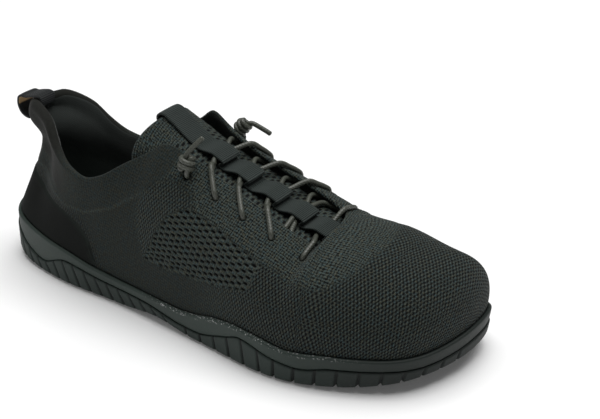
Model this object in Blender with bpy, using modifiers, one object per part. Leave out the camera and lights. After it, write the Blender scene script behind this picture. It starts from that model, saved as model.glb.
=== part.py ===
"""Low lace-up barefoot shoe with a knitted upper, for the right foot, standing on its sole.

+X points to the toe, +Y to the inner, big-toe side and +Z up. The tables are drawn in millimetres,
or in shares of the driving sizes, from the back of the sole; the finished objects are in metres,
with the origin on the floor under the middle of the shoe.
"""
from collections import namedtuple

import bmesh
import bpy
import numpy as np
from mathutils import Vector

MM = 0.001
GAP = 0.35

# Driving sizes in millimetres
SOLE_LENGTH = 288.0
HEEL_FLARE = 1.2
MIDDLE = 0.5 * (SOLE_LENGTH - HEEL_FLARE)
BALL_WIDTH = 104.0
INSTEP_HEIGHT = 110.0
HEEL_HEIGHT = 99.0
KNIT_WALL = 2.2
COLLAR_PAD = 8.0
LACE_DIAMETER = 2.8
TAPE_WIDTH = 15.2
TAPE_THICKNESS = 1.1

# Outline of the sole's lip: share of the length, shares of the ball width to each side
Outline = namedtuple("Outline", "along outer inner")
OUTLINE = [
    Outline(0.00, 0.000, 0.000),
    Outline(0.03, 0.197, 0.185),
    Outline(0.10, 0.293, 0.298),
    Outline(0.20, 0.352, 0.337),
    Outline(0.32, 0.365, 0.322),
    Outline(0.45, 0.407, 0.327),
    Outline(0.58, 0.460, 0.404),
    Outline(0.70, 0.504, 0.476),
    Outline(0.80, 0.464, 0.495),
    Outline(0.90, 0.348, 0.476),
    Outline(0.96, 0.199, 0.448),
    Outline(0.985, 0.048, 0.400),
    Outline(1.00, -0.190, 0.190),
]

# Heights along the sole: underside with arch and toe spring
Height = namedtuple("Height", "along z")
UNDERSIDE = [
    Height(0.00, 6.0), Height(0.04, 2.6), Height(0.12, 0.0), Height(0.33, 0.0),
    Height(0.43, 2.6), Height(0.53, 0.0), Height(0.74, 0.0), Height(0.84, 2.0),
    Height(0.92, 5.2), Height(0.97, 8.0), Height(1.00, 9.5),
]
# Upper lip of the smooth band
LIP = [
    Height(0.00, 31.0), Height(0.03, 29.0), Height(0.12, 25.6), Height(0.20, 23.2),
    Height(0.28, 18.6), Height(0.35, 16.7), Height(0.48, 16.0), Height(0.53, 17.5),
    Height(0.58, 21.2), Height(0.64, 23.3), Height(0.69, 22.5), Height(0.75, 19.8),
    Height(0.82, 20.8), Height(0.90, 20.9), Height(0.96, 21.8), Height(1.00, 25.0),
]
# Waved step between the ribbed rubber below and the smooth band above
WAVE = [
    Height(0.00, 24.0), Height(0.03, 19.5), Height(0.075, 11.5), Height(0.12, 8.0),
    Height(0.20, 15.8), Height(0.30, 12.0), Height(0.41, 10.2), Height(0.49, 6.6),
    Height(0.53, 6.4), Height(0.61, 13.2), Height(0.65, 17.4), Height(0.72, 12.4),
    Height(0.77, 10.4), Height(0.83, 13.5), Height(0.90, 13.9), Height(0.96, 14.2),
    Height(1.00, 17.0),
]
# Inset of the sole's wall at the underside: it bulges behind the heel and tucks in elsewhere
Slope = namedtuple("Slope", "along inset")
WALL_SLOPE = [
    Slope(0.00, -0.4), Slope(0.06, 1.0), Slope(0.15, 2.6), Slope(0.30, 3.0), Slope(0.90, 3.0),
    Slope(1.00, 2.0),
]
RIB_STEP = 0.8
SKIRT = 1.3
STEP_GAP = 0.45
LIP_WIDTH = 2.0
LIP_ROUND = 0.7
LIP_EDGE = 1.0
LIP_FALL = 0.2
CORE_HEIGHT = 3.4
CUP_FLOOR = 3.0
CUP_SLOPE = 0.8
INSOLE_THICKNESS = 3.0
INSOLE_BEVEL = 0.8
# Rounding of the ribbed rubber: at its waved edge, at its bottom edge and the height of that
WAVE_ROUND = 0.7
BOTTOM_TUCK = 1.2
BOTTOM_RISE = 2.0

# Upright grooves of the ribbed rubber, which run on under the sole between its cross lugs
Grooves = namedtuple("Grooves", "start end count width depth")
GROOVES = [
    Grooves(0.004, 0.46, 18, 2.0, 1.0),
    Grooves(0.51, 0.69, 6, 2.2, 1.1),
    Grooves(0.72, 0.992, 10, 2.4, 1.2),
]
LUG_DEPTH = 1.4

# Ridge over the toes: station of the foot line, then the top point
Ridge = namedtuple("Ridge", "foot along across up")
RIDGE = [
    Ridge(1.000, 0.880, 0.100, 0.562),
    Ridge(0.900, 0.880, 0.100, 0.562),
    Ridge(0.830, 0.822, 0.060, 0.598),
    Ridge(0.755, 0.743, 0.010, 0.612),
]
RIDGE_SLOPE = 0.21

# Edge of the throat and collar: station of the foot line, then the edge point
Edge = namedtuple("Edge", "foot along across up")
OUTER_THROAT = [
    Edge(0.728, 0.733, -0.154, 0.564),
    Edge(0.698, 0.702, -0.170, 0.607),
    Edge(0.650, 0.660, -0.183, 0.660),
    Edge(0.605, 0.615, -0.188, 0.714),
    Edge(0.562, 0.573, -0.183, 0.755),
    Edge(0.520, 0.531, -0.180, 0.800),
    Edge(0.474, 0.486, -0.188, 0.859),
    Edge(0.418, 0.427, -0.212, 0.905),
]
OUTER_COLLAR = [
    Edge(0.380, 0.391, -0.250, 0.942),
    Edge(0.342, 0.353, -0.288, 0.876),
    Edge(0.284, 0.292, -0.327, 0.760),
    Edge(0.248, 0.254, -0.327, 0.722),
    Edge(0.206, 0.208, -0.312, 0.752),
    Edge(0.160, 0.165, -0.269, 0.820),
    Edge(0.105, 0.118, -0.190, 0.920),
    Edge(0.035, 0.058, -0.090, 0.962),
]
INNER_THROAT = [
    Edge(0.728, 0.718, 0.190, 0.594),
    Edge(0.690, 0.688, 0.200, 0.630),
    Edge(0.645, 0.642, 0.202, 0.677),
    Edge(0.600, 0.597, 0.197, 0.718),
    Edge(0.555, 0.552, 0.188, 0.764),
    Edge(0.513, 0.510, 0.180, 0.814),
    Edge(0.470, 0.469, 0.192, 0.864),
    Edge(0.415, 0.417, 0.231, 0.923),
]
INNER_COLLAR = [
    Edge(0.375, 0.378, 0.260, 0.949),
    Edge(0.332, 0.337, 0.288, 0.859),
    Edge(0.272, 0.278, 0.308, 0.737),
    Edge(0.224, 0.229, 0.313, 0.697),
    Edge(0.182, 0.188, 0.293, 0.727),
    Edge(0.140, 0.147, 0.269, 0.798),
    Edge(0.100, 0.115, 0.226, 0.889),
    Edge(0.035, 0.069, 0.115, 0.972),
]
HEEL_EDGE = Edge(0.0, 0.044, 0.0, 0.966)

# Padded swell at the heel's top: how far it stands out, its place and width on the wall, and the
# share of the length that it fades over
SWELL = 6.7
SWELL_SHARE = 0.85
SWELL_WIDTH = 0.128
SWELL_REACH = 0.16

# Curve of the wall: lean at the lip from upright, lean at the edge from level, and fullness
Wall = namedtuple("Wall", "foot lip_lean edge_lean low high")
WALL = [
    Wall(1.00, -9.0, 0.0, 0.53, 0.45),
    Wall(0.90, -9.0, 0.0, 0.40, 0.52),
    Wall(0.755, -4.0, 0.0, 0.38, 0.62),
    Wall(0.728, -4.0, 9.0, 0.41, 0.54),
    Wall(0.69, -4.0, 13.0, 0.42, 0.46),
    Wall(0.60, -3.0, 20.0, 0.44, 0.36),
    Wall(0.50, -1.0, 28.0, 0.46, 0.30),
    Wall(0.42, 0.0, 45.0, 0.44, 0.30),
    Wall(0.34, -2.0, 72.0, 0.40, 0.34),
    Wall(0.25, -3.0, 92.0, 0.38, 0.34),
    Wall(0.16, 3.0, 102.0, 0.38, 0.36),
    Wall(0.08, 15.0, 123.5, 0.40, 0.40),
    Wall(0.00, 23.0, 116.5, 0.35, 0.30),
]
SECTION_STEPS = 7
COLUMNS_BETWEEN = 2
TOE_STATIONS = [0.985, 0.95]
# Distance over which the wall's heading turns from square to the lip to straight at the edge
HEADING_START = 8.0
HEADING_BLEND = 10.0
# Collar pad: share of the length that it fades over, then where it starts up the wall and its rise
PAD_REACH = 0.30
PAD_START = 0.45
PAD_RISE = 0.3

# Tongue: top face at the middle, half widths, then drop, squareness and backward sweep of the sides
Tongue = namedtuple("Tongue", "along z outer inner drop square sweep")
TONGUE = [
    Tongue(0.775, 57.8, 18.0, 18.0, 2.5, 4.0, 0.0),
    Tongue(0.743, 58.7, 26.0, 26.0, 6.0, 4.0, 0.0),
    Tongue(0.700, 62.4, 29.5, 30.0, 9.0, 4.0, 0.0),
    Tongue(0.630, 70.4, 30.0, 29.0, 11.0, 4.0, 0.0),
    Tongue(0.560, 78.6, 29.5, 26.5, 11.0, 3.6, 0.0),
    Tongue(0.490, 87.6, 28.5, 25.0, 13.0, 3.2, 0.0),
    Tongue(0.430, 97.4, 26.4, 25.5, 15.5, 2.6, 3.0),
    Tongue(0.395, 104.6, 24.6, 25.2, 19.5, 2.4, 6.5),
    Tongue(0.380, 106.9, 24.8, 25.0, 20.6, 2.4, 8.4),
]
TONGUE_THICKNESS = 2.6
TONGUE_SIDE = 0.92

# Raised loops of the tape, as shares of the length from the top down, and their size
TAPE_LOOPS = (0.487, 0.543, 0.604, 0.661, 0.711)
LOOP_HALF_LENGTH = 6.2
LOOP_RISE = 4.0
TAPE_FRONT = 0.7335
TAPE_FOLD = 9.0
FOLD_SLACK = 1.6

# Lace holes: station of the foot line, and distance in from the edge
EYELET_FEET = (0.478, 0.541, 0.603, 0.663, 0.725)
EYELET_INSET = 10.5
EYELET_RADIUS = 2.3
CUTTER_DEPTH = 9.0

# Heel counter: station of the foot line and the height it reaches on the wall
Counter = namedtuple("Counter", "foot share")
COUNTER = [
    Counter(0.000, 0.40), Counter(0.050, 0.37), Counter(0.100, 0.36), Counter(0.160, 0.42),
    Counter(0.205, 0.45), Counter(0.240, 0.40), Counter(0.262, 0.28), Counter(0.276, 0.05),
]
COUNTER_THICKNESS = 1.0
COUNTER_START = 0.012
COUNTER_MARGIN = 0.03

# Lace strands: loop of the tape, then side, route, edge offset and eyelet of each end
Strand = namedtuple("Strand", "loop side_a over_a shift_a eyelet_a side_b over_b shift_b eyelet_b")
STRANDS = [
    Strand(0, -1, True, 8.5, 1, 1, False, -2.5, 0),
    Strand(0, 1, True, 8.5, 1, -1, False, 8.0, 0),
    Strand(1, -1, True, 10.0, 2, 1, False, -2.5, 1),
    Strand(1, 1, True, 10.0, 2, -1, False, 8.0, 1),
    Strand(2, -1, True, 10.0, 3, 1, False, -2.5, 2),
    Strand(2, 1, True, 10.0, 3, -1, False, 8.0, 2),
    Strand(3, -1, False, 5.0, 4, 1, False, -2.5, 3),
    Strand(3, 1, False, 5.0, 4, -1, False, -2.5, 3),
    Strand(4, -1, True, 4.5, 4, 1, True, 2.0, 4),
]
# Air between the lace and the edge, half way to the hole, at the hole, under the edge and in the loop
EDGE_AIR = 1.15
MIDWAY_AIR = 0.95
HOLE_AIR = 0.45
UNDER_AIR = 0.55
LOOP_AIR = 0.85
UNDER_SHARE = 0.97
# Lean of a strand at the tape's edge as a share of its shift, and the fall of the tongue there
STRAND_LEAN = 0.35
STRAND_SLOPE = -0.45
STRAND_INSIDE = 0.5
KNOT_RADIUS = 4.4
KNOT_INSET = 6.0
TAIL_LENGTH = 10.5
# Free ends of the lace: side, station of the foot line and direction of the tail
LaceEnd = namedtuple("LaceEnd", "label side foot direction")
LACE_ENDS = [
    LaceEnd("near", -1, 0.472, (0.30, 0.50, 0.80)),
    LaceEnd("far", 1, 0.470, (0.9, 0.35, -0.2)),
]

# Pull loop behind the heel: route in the middle plane
Route = namedtuple("Route", "x z")
PULL_ROUTE = [
    Route(25.0, 92.6), Route(25.0, 95.4), Route(23.6, 97.6), Route(20.6, 98.3), Route(16.4, 98.4),
    Route(12.4, 97.7), Route(8.6, 96.6), Route(5.2, 95.3), Route(3.0, 93.4), Route(2.2, 90.6),
    Route(2.6, 87.2), Route(4.4, 84.1), Route(7.2, 82.4), Route(10.1, 81.9),
]
PULL_WIDTH = 12.0
PULL_THICKNESS = 1.2


def station_angle(share):
    """Angle round the outline for a share of the length: 0 at the heel, pi at the toe."""
    return np.arccos(1.0 - 2.0 * np.asarray(share, float))


def station_share(angle):
    """Share of the length at an angle round the outline."""
    return 0.5 * (1.0 - np.cos(angle))


def smooth_steps(knots, values, query):
    """Smooth curve through the values that never overshoots them."""
    knots = np.asarray(knots, float)
    values = np.asarray(values, float)
    query = np.clip(np.asarray(query, float), knots[0], knots[-1])
    width = np.diff(knots)
    rise = np.diff(values) / width
    slope = np.zeros(len(knots))
    same = rise[:-1] * rise[1:] > 0
    before = 2.0 * width[1:] + width[:-1]
    after = width[1:] + 2.0 * width[:-1]
    safe_low = np.where(same, rise[:-1], 1.0)
    safe_high = np.where(same, rise[1:], 1.0)
    slope[1:-1] = np.where(same, (before + after) / (before / safe_low + after / safe_high), 0.0)
    cell = np.clip(np.searchsorted(knots, query, side="right") - 1, 0, len(knots) - 2)
    part = (query - knots[cell]) / width[cell]
    ease = part * part * (3.0 - 2.0 * part)
    value = values[cell] + (values[cell + 1] - values[cell]) * ease
    value += width[cell] * slope[cell] * part * (1.0 - part) ** 2
    value -= width[cell] * slope[cell + 1] * part * part * (1.0 - part)
    return value


def even_column(rows, name, angle):
    """A table's column by outline angle, the same on both sides and level at heel and toe."""
    knots = [station_angle(row[0]) for row in rows]
    values = [getattr(row, name) for row in rows]
    if knots[0] > knots[-1]:
        knots = knots[::-1]
        values = values[::-1]
    folded = np.pi - np.abs(np.pi - np.mod(angle, 2.0 * np.pi))
    return smooth_steps(knots, values, folded)


def periodic_spline(knots, values, query):
    """Closed cubic spline with a period of one full turn."""
    count = len(knots)
    width = np.append(np.diff(knots), knots[0] + 2.0 * np.pi - knots[-1])
    rise = (np.roll(values, -1) - values) / width
    matrix = np.zeros((count, count))
    right = np.zeros(count)
    for row in range(count):
        matrix[row, row - 1] += width[row - 1]
        matrix[row, row] += 2.0 * (width[row - 1] + width[row])
        matrix[row, (row + 1) % count] += width[row]
        right[row] = 6.0 * (rise[row] - rise[row - 1])
    bend = np.linalg.solve(matrix, right)
    turn = np.mod(np.asarray(query, float) - knots[0], 2.0 * np.pi) + knots[0]
    cell = np.searchsorted(knots, turn, side="right") - 1
    following = (cell + 1) % count
    step = turn - knots[cell]
    first = rise[cell] - width[cell] * (2.0 * bend[cell] + bend[following]) / 6.0
    cubic = (bend[following] - bend[cell]) / (6.0 * width[cell])
    return values[cell] + step * (first + step * (0.5 * bend[cell] + step * cubic))


def outline_knots():
    """Angles and widths of the outline, out along the outer side and back along the inner."""
    outer = [(station_angle(row.along), -row.outer) for row in OUTLINE]
    inner = [(2.0 * np.pi - station_angle(row.along), row.inner) for row in OUTLINE[1:-1]]
    pairs = outer + inner[::-1]
    return np.array([pair[0] for pair in pairs]), np.array([pair[1] for pair in pairs])


OUTLINE_ANGLES, OUTLINE_WIDTHS = outline_knots()


def lip_line(angle):
    """Plan of the lip."""
    x = SOLE_LENGTH * station_share(angle)
    y = BALL_WIDTH * periodic_spline(OUTLINE_ANGLES, OUTLINE_WIDTHS, angle)
    return np.stack([x, y], axis=-1)


def lip_inward(angle):
    """Level direction square to the lip, to the inside of the shoe."""
    nudge = 1e-4
    along = lip_line(angle + nudge) - lip_line(angle - nudge)
    along /= np.linalg.norm(along, axis=-1, keepdims=True)
    return np.stack([-along[..., 1], along[..., 0]], axis=-1)


Sole = namedtuple("Sole", "low wave lip core floor")


def sole_heights(angle):
    """Underside, waved step, lip, core and cup floor heights round the outline."""
    low = even_column(UNDERSIDE, "z", angle)
    wave = even_column(WAVE, "z", angle)
    lip = even_column(LIP, "z", angle)
    core = low + CORE_HEIGHT
    return Sole(low, wave, lip, core, core + GAP + CUP_FLOOR)


def wall_inset(angle, z):
    """Inset of the sole's outer wall at a height: none at the lip, all of it at the underside."""
    sole = sole_heights(angle)
    return even_column(WALL_SLOPE, "inset", angle) * (sole.lip - z) / (sole.lip - sole.low)


def ring(angle, inset, z):
    """One closed line round the shoe."""
    inset = np.broadcast_to(inset, np.shape(angle))
    plan = lip_line(angle) + lip_inward(angle) * inset[:, None]
    return np.column_stack([plan, np.broadcast_to(z, np.shape(angle))])


def half_and_mirror(half):
    """Angles of a whole turn from those of the outer half, heel and toe included."""
    half = np.asarray(half)
    return np.concatenate([half, 2.0 * np.pi - half[-2:0:-1]])


def smooth_angles(count):
    """Evenly spread angles of a whole turn."""
    return half_and_mirror(np.linspace(0.0, np.pi, count))


def shoe_mesh(name, bm):
    """Finish a bmesh drawn in millimetres as an object of the shoe."""
    bmesh.ops.remove_doubles(bm, verts=bm.verts, dist=1e-4)
    bmesh.ops.scale(bm, vec=Vector((MM, MM, MM)), verts=bm.verts)
    bmesh.ops.translate(bm, vec=Vector((-MIDDLE * MM, 0.0, 0.0)), verts=bm.verts)
    mesh = bpy.data.meshes.new(name)
    bm.to_mesh(mesh)
    bm.free()
    part = bpy.data.objects.new(name, mesh)
    SHOE.objects.link(part)
    return part


def ring_loft(name, rings):
    """Closed body through rings, its two ends closed by strips across the shoe."""
    bm = bmesh.new()
    loops = [[bm.verts.new(point) for point in line] for line in rings]
    count = len(loops[0])
    for lower, upper in zip(loops, loops[1:]):
        for i in range(count):
            j = (i + 1) % count
            bm.faces.new((lower[i], lower[j], upper[j], upper[i]))
    half = count // 2
    for end in (loops[0], loops[-1]):
        for i in range(half):
            corners = (end[i], end[i + 1], end[-i - 1], end[-i])
            bm.faces.new(tuple(dict.fromkeys(corners)))
    bmesh.ops.recalc_face_normals(bm, faces=bm.faces)
    return shoe_mesh(name, bm)


def groove_angles():
    """Angles of the ribbed rubber's outer half, with the depth share of each."""
    dense = np.linspace(0.0, np.pi, 2001)
    steps = np.linalg.norm(np.diff(lip_line(dense), axis=0), axis=1)
    length = np.append(0.0, np.cumsum(steps))
    marks = [(0.0, 0.0, 0.0), (np.pi, 0.0, 0.0)]
    for zone in GROOVES:
        start, end = np.interp(station_angle([zone.start, zone.end]), dense, length)
        for middle in np.linspace(start, end, zone.count):
            for offset, depth in ((-0.5, 0.0), (0.0, zone.depth), (0.5, 0.0)):
                angle = np.interp(middle + offset * zone.width, length, dense)
                marks.append((angle, depth, min(depth, 1.0) * LUG_DEPTH))
    marks.sort()
    kept = [mark for i, mark in enumerate(marks) if i == 0 or mark[0] - marks[i - 1][0] > 1e-3]
    angles = np.array([mark[0] for mark in kept])
    depths = np.array([mark[1] for mark in kept])
    lugs = np.array([mark[2] for mark in kept])
    return angles, depths, lugs


def make_outsole():
    """Ribbed rubber bottom: lugs below, grooved side, waved top edge and a sunk core."""
    half, depth, lug = groove_angles()
    angle = half_and_mirror(half)
    depth = np.concatenate([depth, depth[-2:0:-1]])
    lug = np.concatenate([lug, lug[-2:0:-1]])
    sole = sole_heights(angle)
    edge = sole.wave - WAVE_ROUND
    side = sole.low + BOTTOM_RISE
    bottom_in = wall_inset(angle, sole.low) + BOTTOM_TUCK
    side_in = wall_inset(angle, side) - RIB_STEP
    top_in = wall_inset(angle, edge) - RIB_STEP
    rings = [
        ring(angle, bottom_in + depth, sole.low + lug),
        ring(angle, side_in + depth, side + 0.5 * lug),
        ring(angle, top_in + 0.5 * depth, edge),
        ring(angle, top_in + WAVE_ROUND, sole.wave),
        ring(angle, wall_inset(angle, sole.wave) + SKIRT, sole.wave),
        ring(angle, wall_inset(angle, sole.core) + SKIRT, sole.core),
    ]
    return ring_loft("outsole", rings)


def make_midsole():
    """Smooth rubber cup: a band over the wave, a thin lip and a floor for the foot."""
    angle = smooth_angles(61)
    sole = sole_heights(angle)
    foot = sole.wave + STEP_GAP
    rings = [
        ring(angle, wall_inset(angle, sole.core) + SKIRT + STEP_GAP, sole.core + GAP),
        ring(angle, wall_inset(angle, sole.wave) + SKIRT + STEP_GAP, foot),
        ring(angle, wall_inset(angle, foot) + LIP_FALL, foot),
        ring(angle, 0.0, sole.lip - LIP_EDGE),
        ring(angle, LIP_ROUND, sole.lip),
        ring(angle, LIP_WIDTH, sole.lip - LIP_FALL),
        ring(angle, cup_inset(angle), sole.floor),
    ]
    return ring_loft("midsole", rings)


def cup_inset(angle):
    """Inset of the cup's inner wall at its floor."""
    return wall_inset(angle, sole_heights(angle).floor) + LIP_WIDTH + CUP_SLOPE


def make_insole():
    """Thin footbed on the cup's floor, inside the knit wall."""
    angle = smooth_angles(37)
    base = sole_heights(angle).floor + GAP
    top = base + INSOLE_THICKNESS
    inset = cup_inset(angle) + KNIT_WALL + 3.0 * GAP
    rings = [
        ring(angle, inset + INSOLE_BEVEL, base),
        ring(angle, inset, base + INSOLE_BEVEL),
        ring(angle, inset, top - INSOLE_BEVEL),
        ring(angle, inset + INSOLE_BEVEL, top),
    ]
    return ring_loft("insole", rings)


def edge_ring():
    """Signed angles and points of the throat and collar edge, heel in the middle."""
    outer = OUTER_THROAT + OUTER_COLLAR
    inner = INNER_THROAT + INNER_COLLAR
    throat = RIDGE[-1]
    angles = [-station_angle(throat.foot)] + [-station_angle(row.foot) for row in outer] + [0.0]
    angles += [station_angle(row.foot) for row in inner[::-1]] + [station_angle(throat.foot)]

    def place(row, height):
        return (row.along * SOLE_LENGTH, row.across * BALL_WIDTH, row.up * height)

    points = [place(throat, INSTEP_HEIGHT)]
    points += [place(row, INSTEP_HEIGHT) for row in OUTER_THROAT]
    points += [place(row, HEEL_HEIGHT) for row in OUTER_COLLAR]
    points += [place(HEEL_EDGE, HEEL_HEIGHT)]
    points += [place(row, HEEL_HEIGHT) for row in INNER_COLLAR[::-1]]
    points += [place(row, INSTEP_HEIGHT) for row in INNER_THROAT[::-1]]
    points += [place(throat, INSTEP_HEIGHT)]
    return np.array(angles), np.array(points)


EDGE_ANGLES, EDGE_POINTS = edge_ring()


def edge_point(angle):
    """Top point of the section at an outline angle: on the ridge, or on the opening's edge."""
    signed = np.where(angle > np.pi, 2.0 * np.pi - angle, -angle)
    on_edge = [smooth_steps(EDGE_ANGLES, EDGE_POINTS[:, axis], signed) for axis in range(3)]
    sizes = (SOLE_LENGTH, BALL_WIDTH, INSTEP_HEIGHT)
    names = ("along", "across", "up")
    on_ridge = [size * even_column(RIDGE, name, angle) for size, name in zip(sizes, names)]
    in_front = np.abs(signed) >= station_angle(RIDGE[-1].foot) - 1e-9
    return np.where(in_front[..., None], np.stack(on_ridge, -1), np.stack(on_edge, -1))


def wall_section(angle):
    """Four control points of the knit wall's curve from the lip to its top edge."""
    angle = np.asarray(angle, float)
    inward = lip_inward(angle)
    plan = lip_line(angle) + inward * (LIP_WIDTH + GAP)
    start = np.concatenate([plan, sole_heights(angle).lip[..., None]], axis=-1)
    top = edge_point(angle)
    reach = top[..., :2] - plan
    distance = np.linalg.norm(reach, axis=-1, keepdims=True)
    share = np.clip((distance - HEADING_START) / HEADING_BLEND, 0.0, 1.0)
    heading = share * reach / np.maximum(distance, 1e-6) + (1.0 - share) * inward
    heading /= np.linalg.norm(heading, axis=-1, keepdims=True)
    chord = np.linalg.norm(top - start, axis=-1, keepdims=True)
    lip_lean = np.radians(even_column(WALL, "lip_lean", angle))[..., None]
    edge_lean = np.radians(even_column(WALL, "edge_lean", angle))[..., None]
    low_reach = chord * even_column(WALL, "low", angle)[..., None]
    high_reach = chord * even_column(WALL, "high", angle)[..., None]
    rising = np.concatenate([inward * np.sin(lip_lean), np.cos(lip_lean)], axis=-1)
    climb = np.sin(edge_lean) - RIDGE_SLOPE * heading[..., :1] * np.cos(edge_lean)
    arriving = np.concatenate([heading * np.cos(edge_lean), climb], axis=-1)
    return start, start + low_reach * rising, top - high_reach * arriving, top


def wall_point(angle, share):
    """Point on the outer face of the knit: share 0 at the lip, 1 at the top edge."""
    a, b, c, d = wall_section(angle)
    t = np.asarray(share, float)[..., None]
    s = 1.0 - t
    curve = s ** 3 * a + 3.0 * s * s * t * b + 3.0 * s * t * t * c + t ** 3 * d
    near = np.clip(1.0 - station_share(angle) / SWELL_REACH, 0.0, 1.0)
    pad = SWELL * near * near * (3.0 - 2.0 * near) * np.exp(-((share - SWELL_SHARE) / SWELL_WIDTH) ** 2)
    curve[..., :2] -= lip_inward(angle) * pad[..., None]
    return curve


def wall_normal(angle, share):
    """Outward direction of the knit's outer face."""
    step = 1e-3
    across = wall_point(angle + step, share) - wall_point(angle - step, share)
    upward = wall_point(angle, share) - wall_point(angle, share - step)
    normal = np.cross(across, upward)
    return normal / np.linalg.norm(normal, axis=-1, keepdims=True)


def column_angles():
    """Angles of the upper's columns: every table row, and a few between two rows."""
    rows = [row.foot for row in RIDGE] + TOE_STATIONS
    outer = sorted(station_angle(rows + [row.foot for row in OUTER_THROAT + OUTER_COLLAR] + [0.0]))
    inner = sorted(station_angle(rows + [row.foot for row in INNER_THROAT + INNER_COLLAR] + [0.0]))

    def spread(knots):
        parts = np.arange(COLUMNS_BETWEEN) / COLUMNS_BETWEEN
        inside = [low + (high - low) * parts for low, high in zip(knots, knots[1:])]
        return np.append(np.concatenate(inside), knots[-1])

    return np.concatenate([spread(outer)[:-1], 2.0 * np.pi - spread(inner)[:0:-1]])


def make_upper():
    """Knitted upper: one open sheet from the cup's floor to the edges, given its wall."""
    angle = column_angles()
    rows = [ring(angle, cup_inset(angle) + GAP, sole_heights(angle).floor + GAP)]
    shares = np.linspace(0.0, 1.0, SECTION_STEPS + 1)
    rows += [wall_point(angle, np.full(len(angle), share)) for share in shares]
    bm = bmesh.new()
    pad = bm.verts.layers.deform.verify()
    heel = np.clip(1.0 - station_share(angle) / PAD_REACH, 0.0, 1.0)
    heights = [0.0] + list(shares)
    grid = []
    for row, share in zip(rows, heights):
        line = []
        for point, near_heel in zip(row, heel):
            vert = bm.verts.new(point)
            plump = near_heel * max(0.0, min(1.0, (share - PAD_START) / PAD_RISE))
            vert[pad][0] = (KNIT_WALL + (COLLAR_PAD - KNIT_WALL) * plump) / COLLAR_PAD
            line.append(vert)
        grid.append(line)
    count = len(angle)
    for lower, upper in zip(grid, grid[1:]):
        for i in range(count):
            j = (i + 1) % count
            bm.faces.new((lower[i], lower[j], upper[j], upper[i]))
    part = shoe_mesh("upper", bm)
    part.vertex_groups.new(name="wall")
    wall = part.modifiers.new("wall", "SOLIDIFY")
    wall.thickness = COLLAR_PAD * MM
    wall.offset = -1.0
    wall.vertex_group = "wall"
    return part


def tongue_row(along):
    """The tongue's other columns at a share of the length."""
    rows = TONGUE[::-1]
    knots = [row.along for row in rows]
    return [smooth_steps(knots, [row[i] for row in rows], along) for i in range(1, len(rows[0]))]


def tongue_point(along, side):
    """Point on the tongue's top face: side runs from -1 at the outer edge to 1 at the inner."""
    z, outer, inner, drop, square, sweep = tongue_row(along)
    across = np.sin(0.5 * np.pi * np.asarray(side, float))
    arch = 1.0 - np.sqrt(np.clip(1.0 - np.abs(across) ** square, 0.0, 1.0))
    x = along * SOLE_LENGTH - sweep * across * across
    half = np.where(across < 0.0, outer, inner)
    return np.stack([x, half * across, z - drop * arch], axis=-1)


def sheet_mesh(name, grid, thickness, offset):
    """A grid of points as a sheet with a wall of its own."""
    bm = bmesh.new()
    lines = [[bm.verts.new(point) for point in line] for line in grid]
    for lower, upper in zip(lines, lines[1:]):
        for i in range(len(lower) - 1):
            bm.faces.new((lower[i], lower[i + 1], upper[i + 1], upper[i]))
    part = shoe_mesh(name, bm)
    wall = part.modifiers.new("wall", "SOLIDIFY")
    wall.thickness = thickness * MM
    wall.offset = offset
    wall.use_even_offset = True
    return part


def make_tongue():
    """Tongue: an arched sheet from under the vamp to its own rounded top."""
    stations = np.linspace(TONGUE[0].along, TONGUE[-1].along, 14)
    sides = np.linspace(-TONGUE_SIDE, TONGUE_SIDE, 11)
    grid = [tongue_point(along, sides) for along in stations]
    return sheet_mesh("tongue", grid, TONGUE_THICKNESS, -1.0)


def make_counter():
    """Heel counter: a thin panel on the knit wall, from just over the lip to its curved top."""
    reach = station_angle(COUNTER[-1].foot)
    around = (column_angles() + np.pi) % (2.0 * np.pi) - np.pi
    inside = np.sort(around[np.abs(around) < reach - COUNTER_MARGIN])
    angle = np.concatenate([[-reach], inside, [reach]])
    top = even_column(COUNTER, "share", angle)
    low = np.full_like(angle, COUNTER_START)
    grid = []
    for step in np.linspace(0.0, 1.0, 5):
        share = low + (top - low) * step
        grid.append(wall_point(angle, share) + STEP_GAP * wall_normal(angle, share))
    return sheet_mesh("heel_counter", grid, COUNTER_THICKNESS, 1.0)


def side_angle(side, foot):
    """Outline angle of a foot station on the outer (-1) or the inner (1) side."""
    angle = station_angle(foot)
    return angle if side < 0 else 2.0 * np.pi - angle


def share_from_edge(angle, inset):
    """Wall share at a distance below the knit's edge, measured on the surface."""
    share = np.linspace(1.0, 0.5, 101)
    line = wall_point(np.full_like(share, angle), share)
    length = np.append(0.0, np.cumsum(np.linalg.norm(np.diff(line, axis=0), axis=1)))
    return np.interp(inset, length, share)


def eyelet_place(side, index):
    """Angle and wall share of a lace hole."""
    angle = side_angle(side, EYELET_FEET[index])
    return angle, share_from_edge(angle, EYELET_INSET)


def off_wall(angle, share, distance):
    """Point at a distance outside the knit's outer face."""
    return wall_point(angle, share) + distance * wall_normal(angle, share)


def in_metres(points):
    """Drawn points, from the back of the sole in millimetres, as places in the shoe's frame."""
    return (np.asarray(points) - np.array([MIDDLE, 0.0, 0.0])) * MM


def make_lace_holes(upper):
    """Cut the lace holes through the knit with short round cutters."""
    for side, label in ((-1, "outer"), (1, "inner")):
        for index in range(len(EYELET_FEET)):
            angle, share = eyelet_place(side, index)
            bpy.ops.mesh.primitive_cylinder_add(
                vertices=8, radius=EYELET_RADIUS * MM, depth=CUTTER_DEPTH * MM)
            cutter = bpy.context.object
            cutter.name = f"hole_{label}_{index}"
            cutter.location = in_metres(wall_point(angle, share))
            cutter.rotation_mode = "QUATERNION"
            normal = Vector(wall_normal(angle, share))
            cutter.rotation_quaternion = normal.to_track_quat("Z", "Y")
            keep_as_cutter(cutter)
            hole = upper.modifiers.new(cutter.name, "BOOLEAN")
            hole.operation = "DIFFERENCE"
            hole.object = cutter


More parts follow.
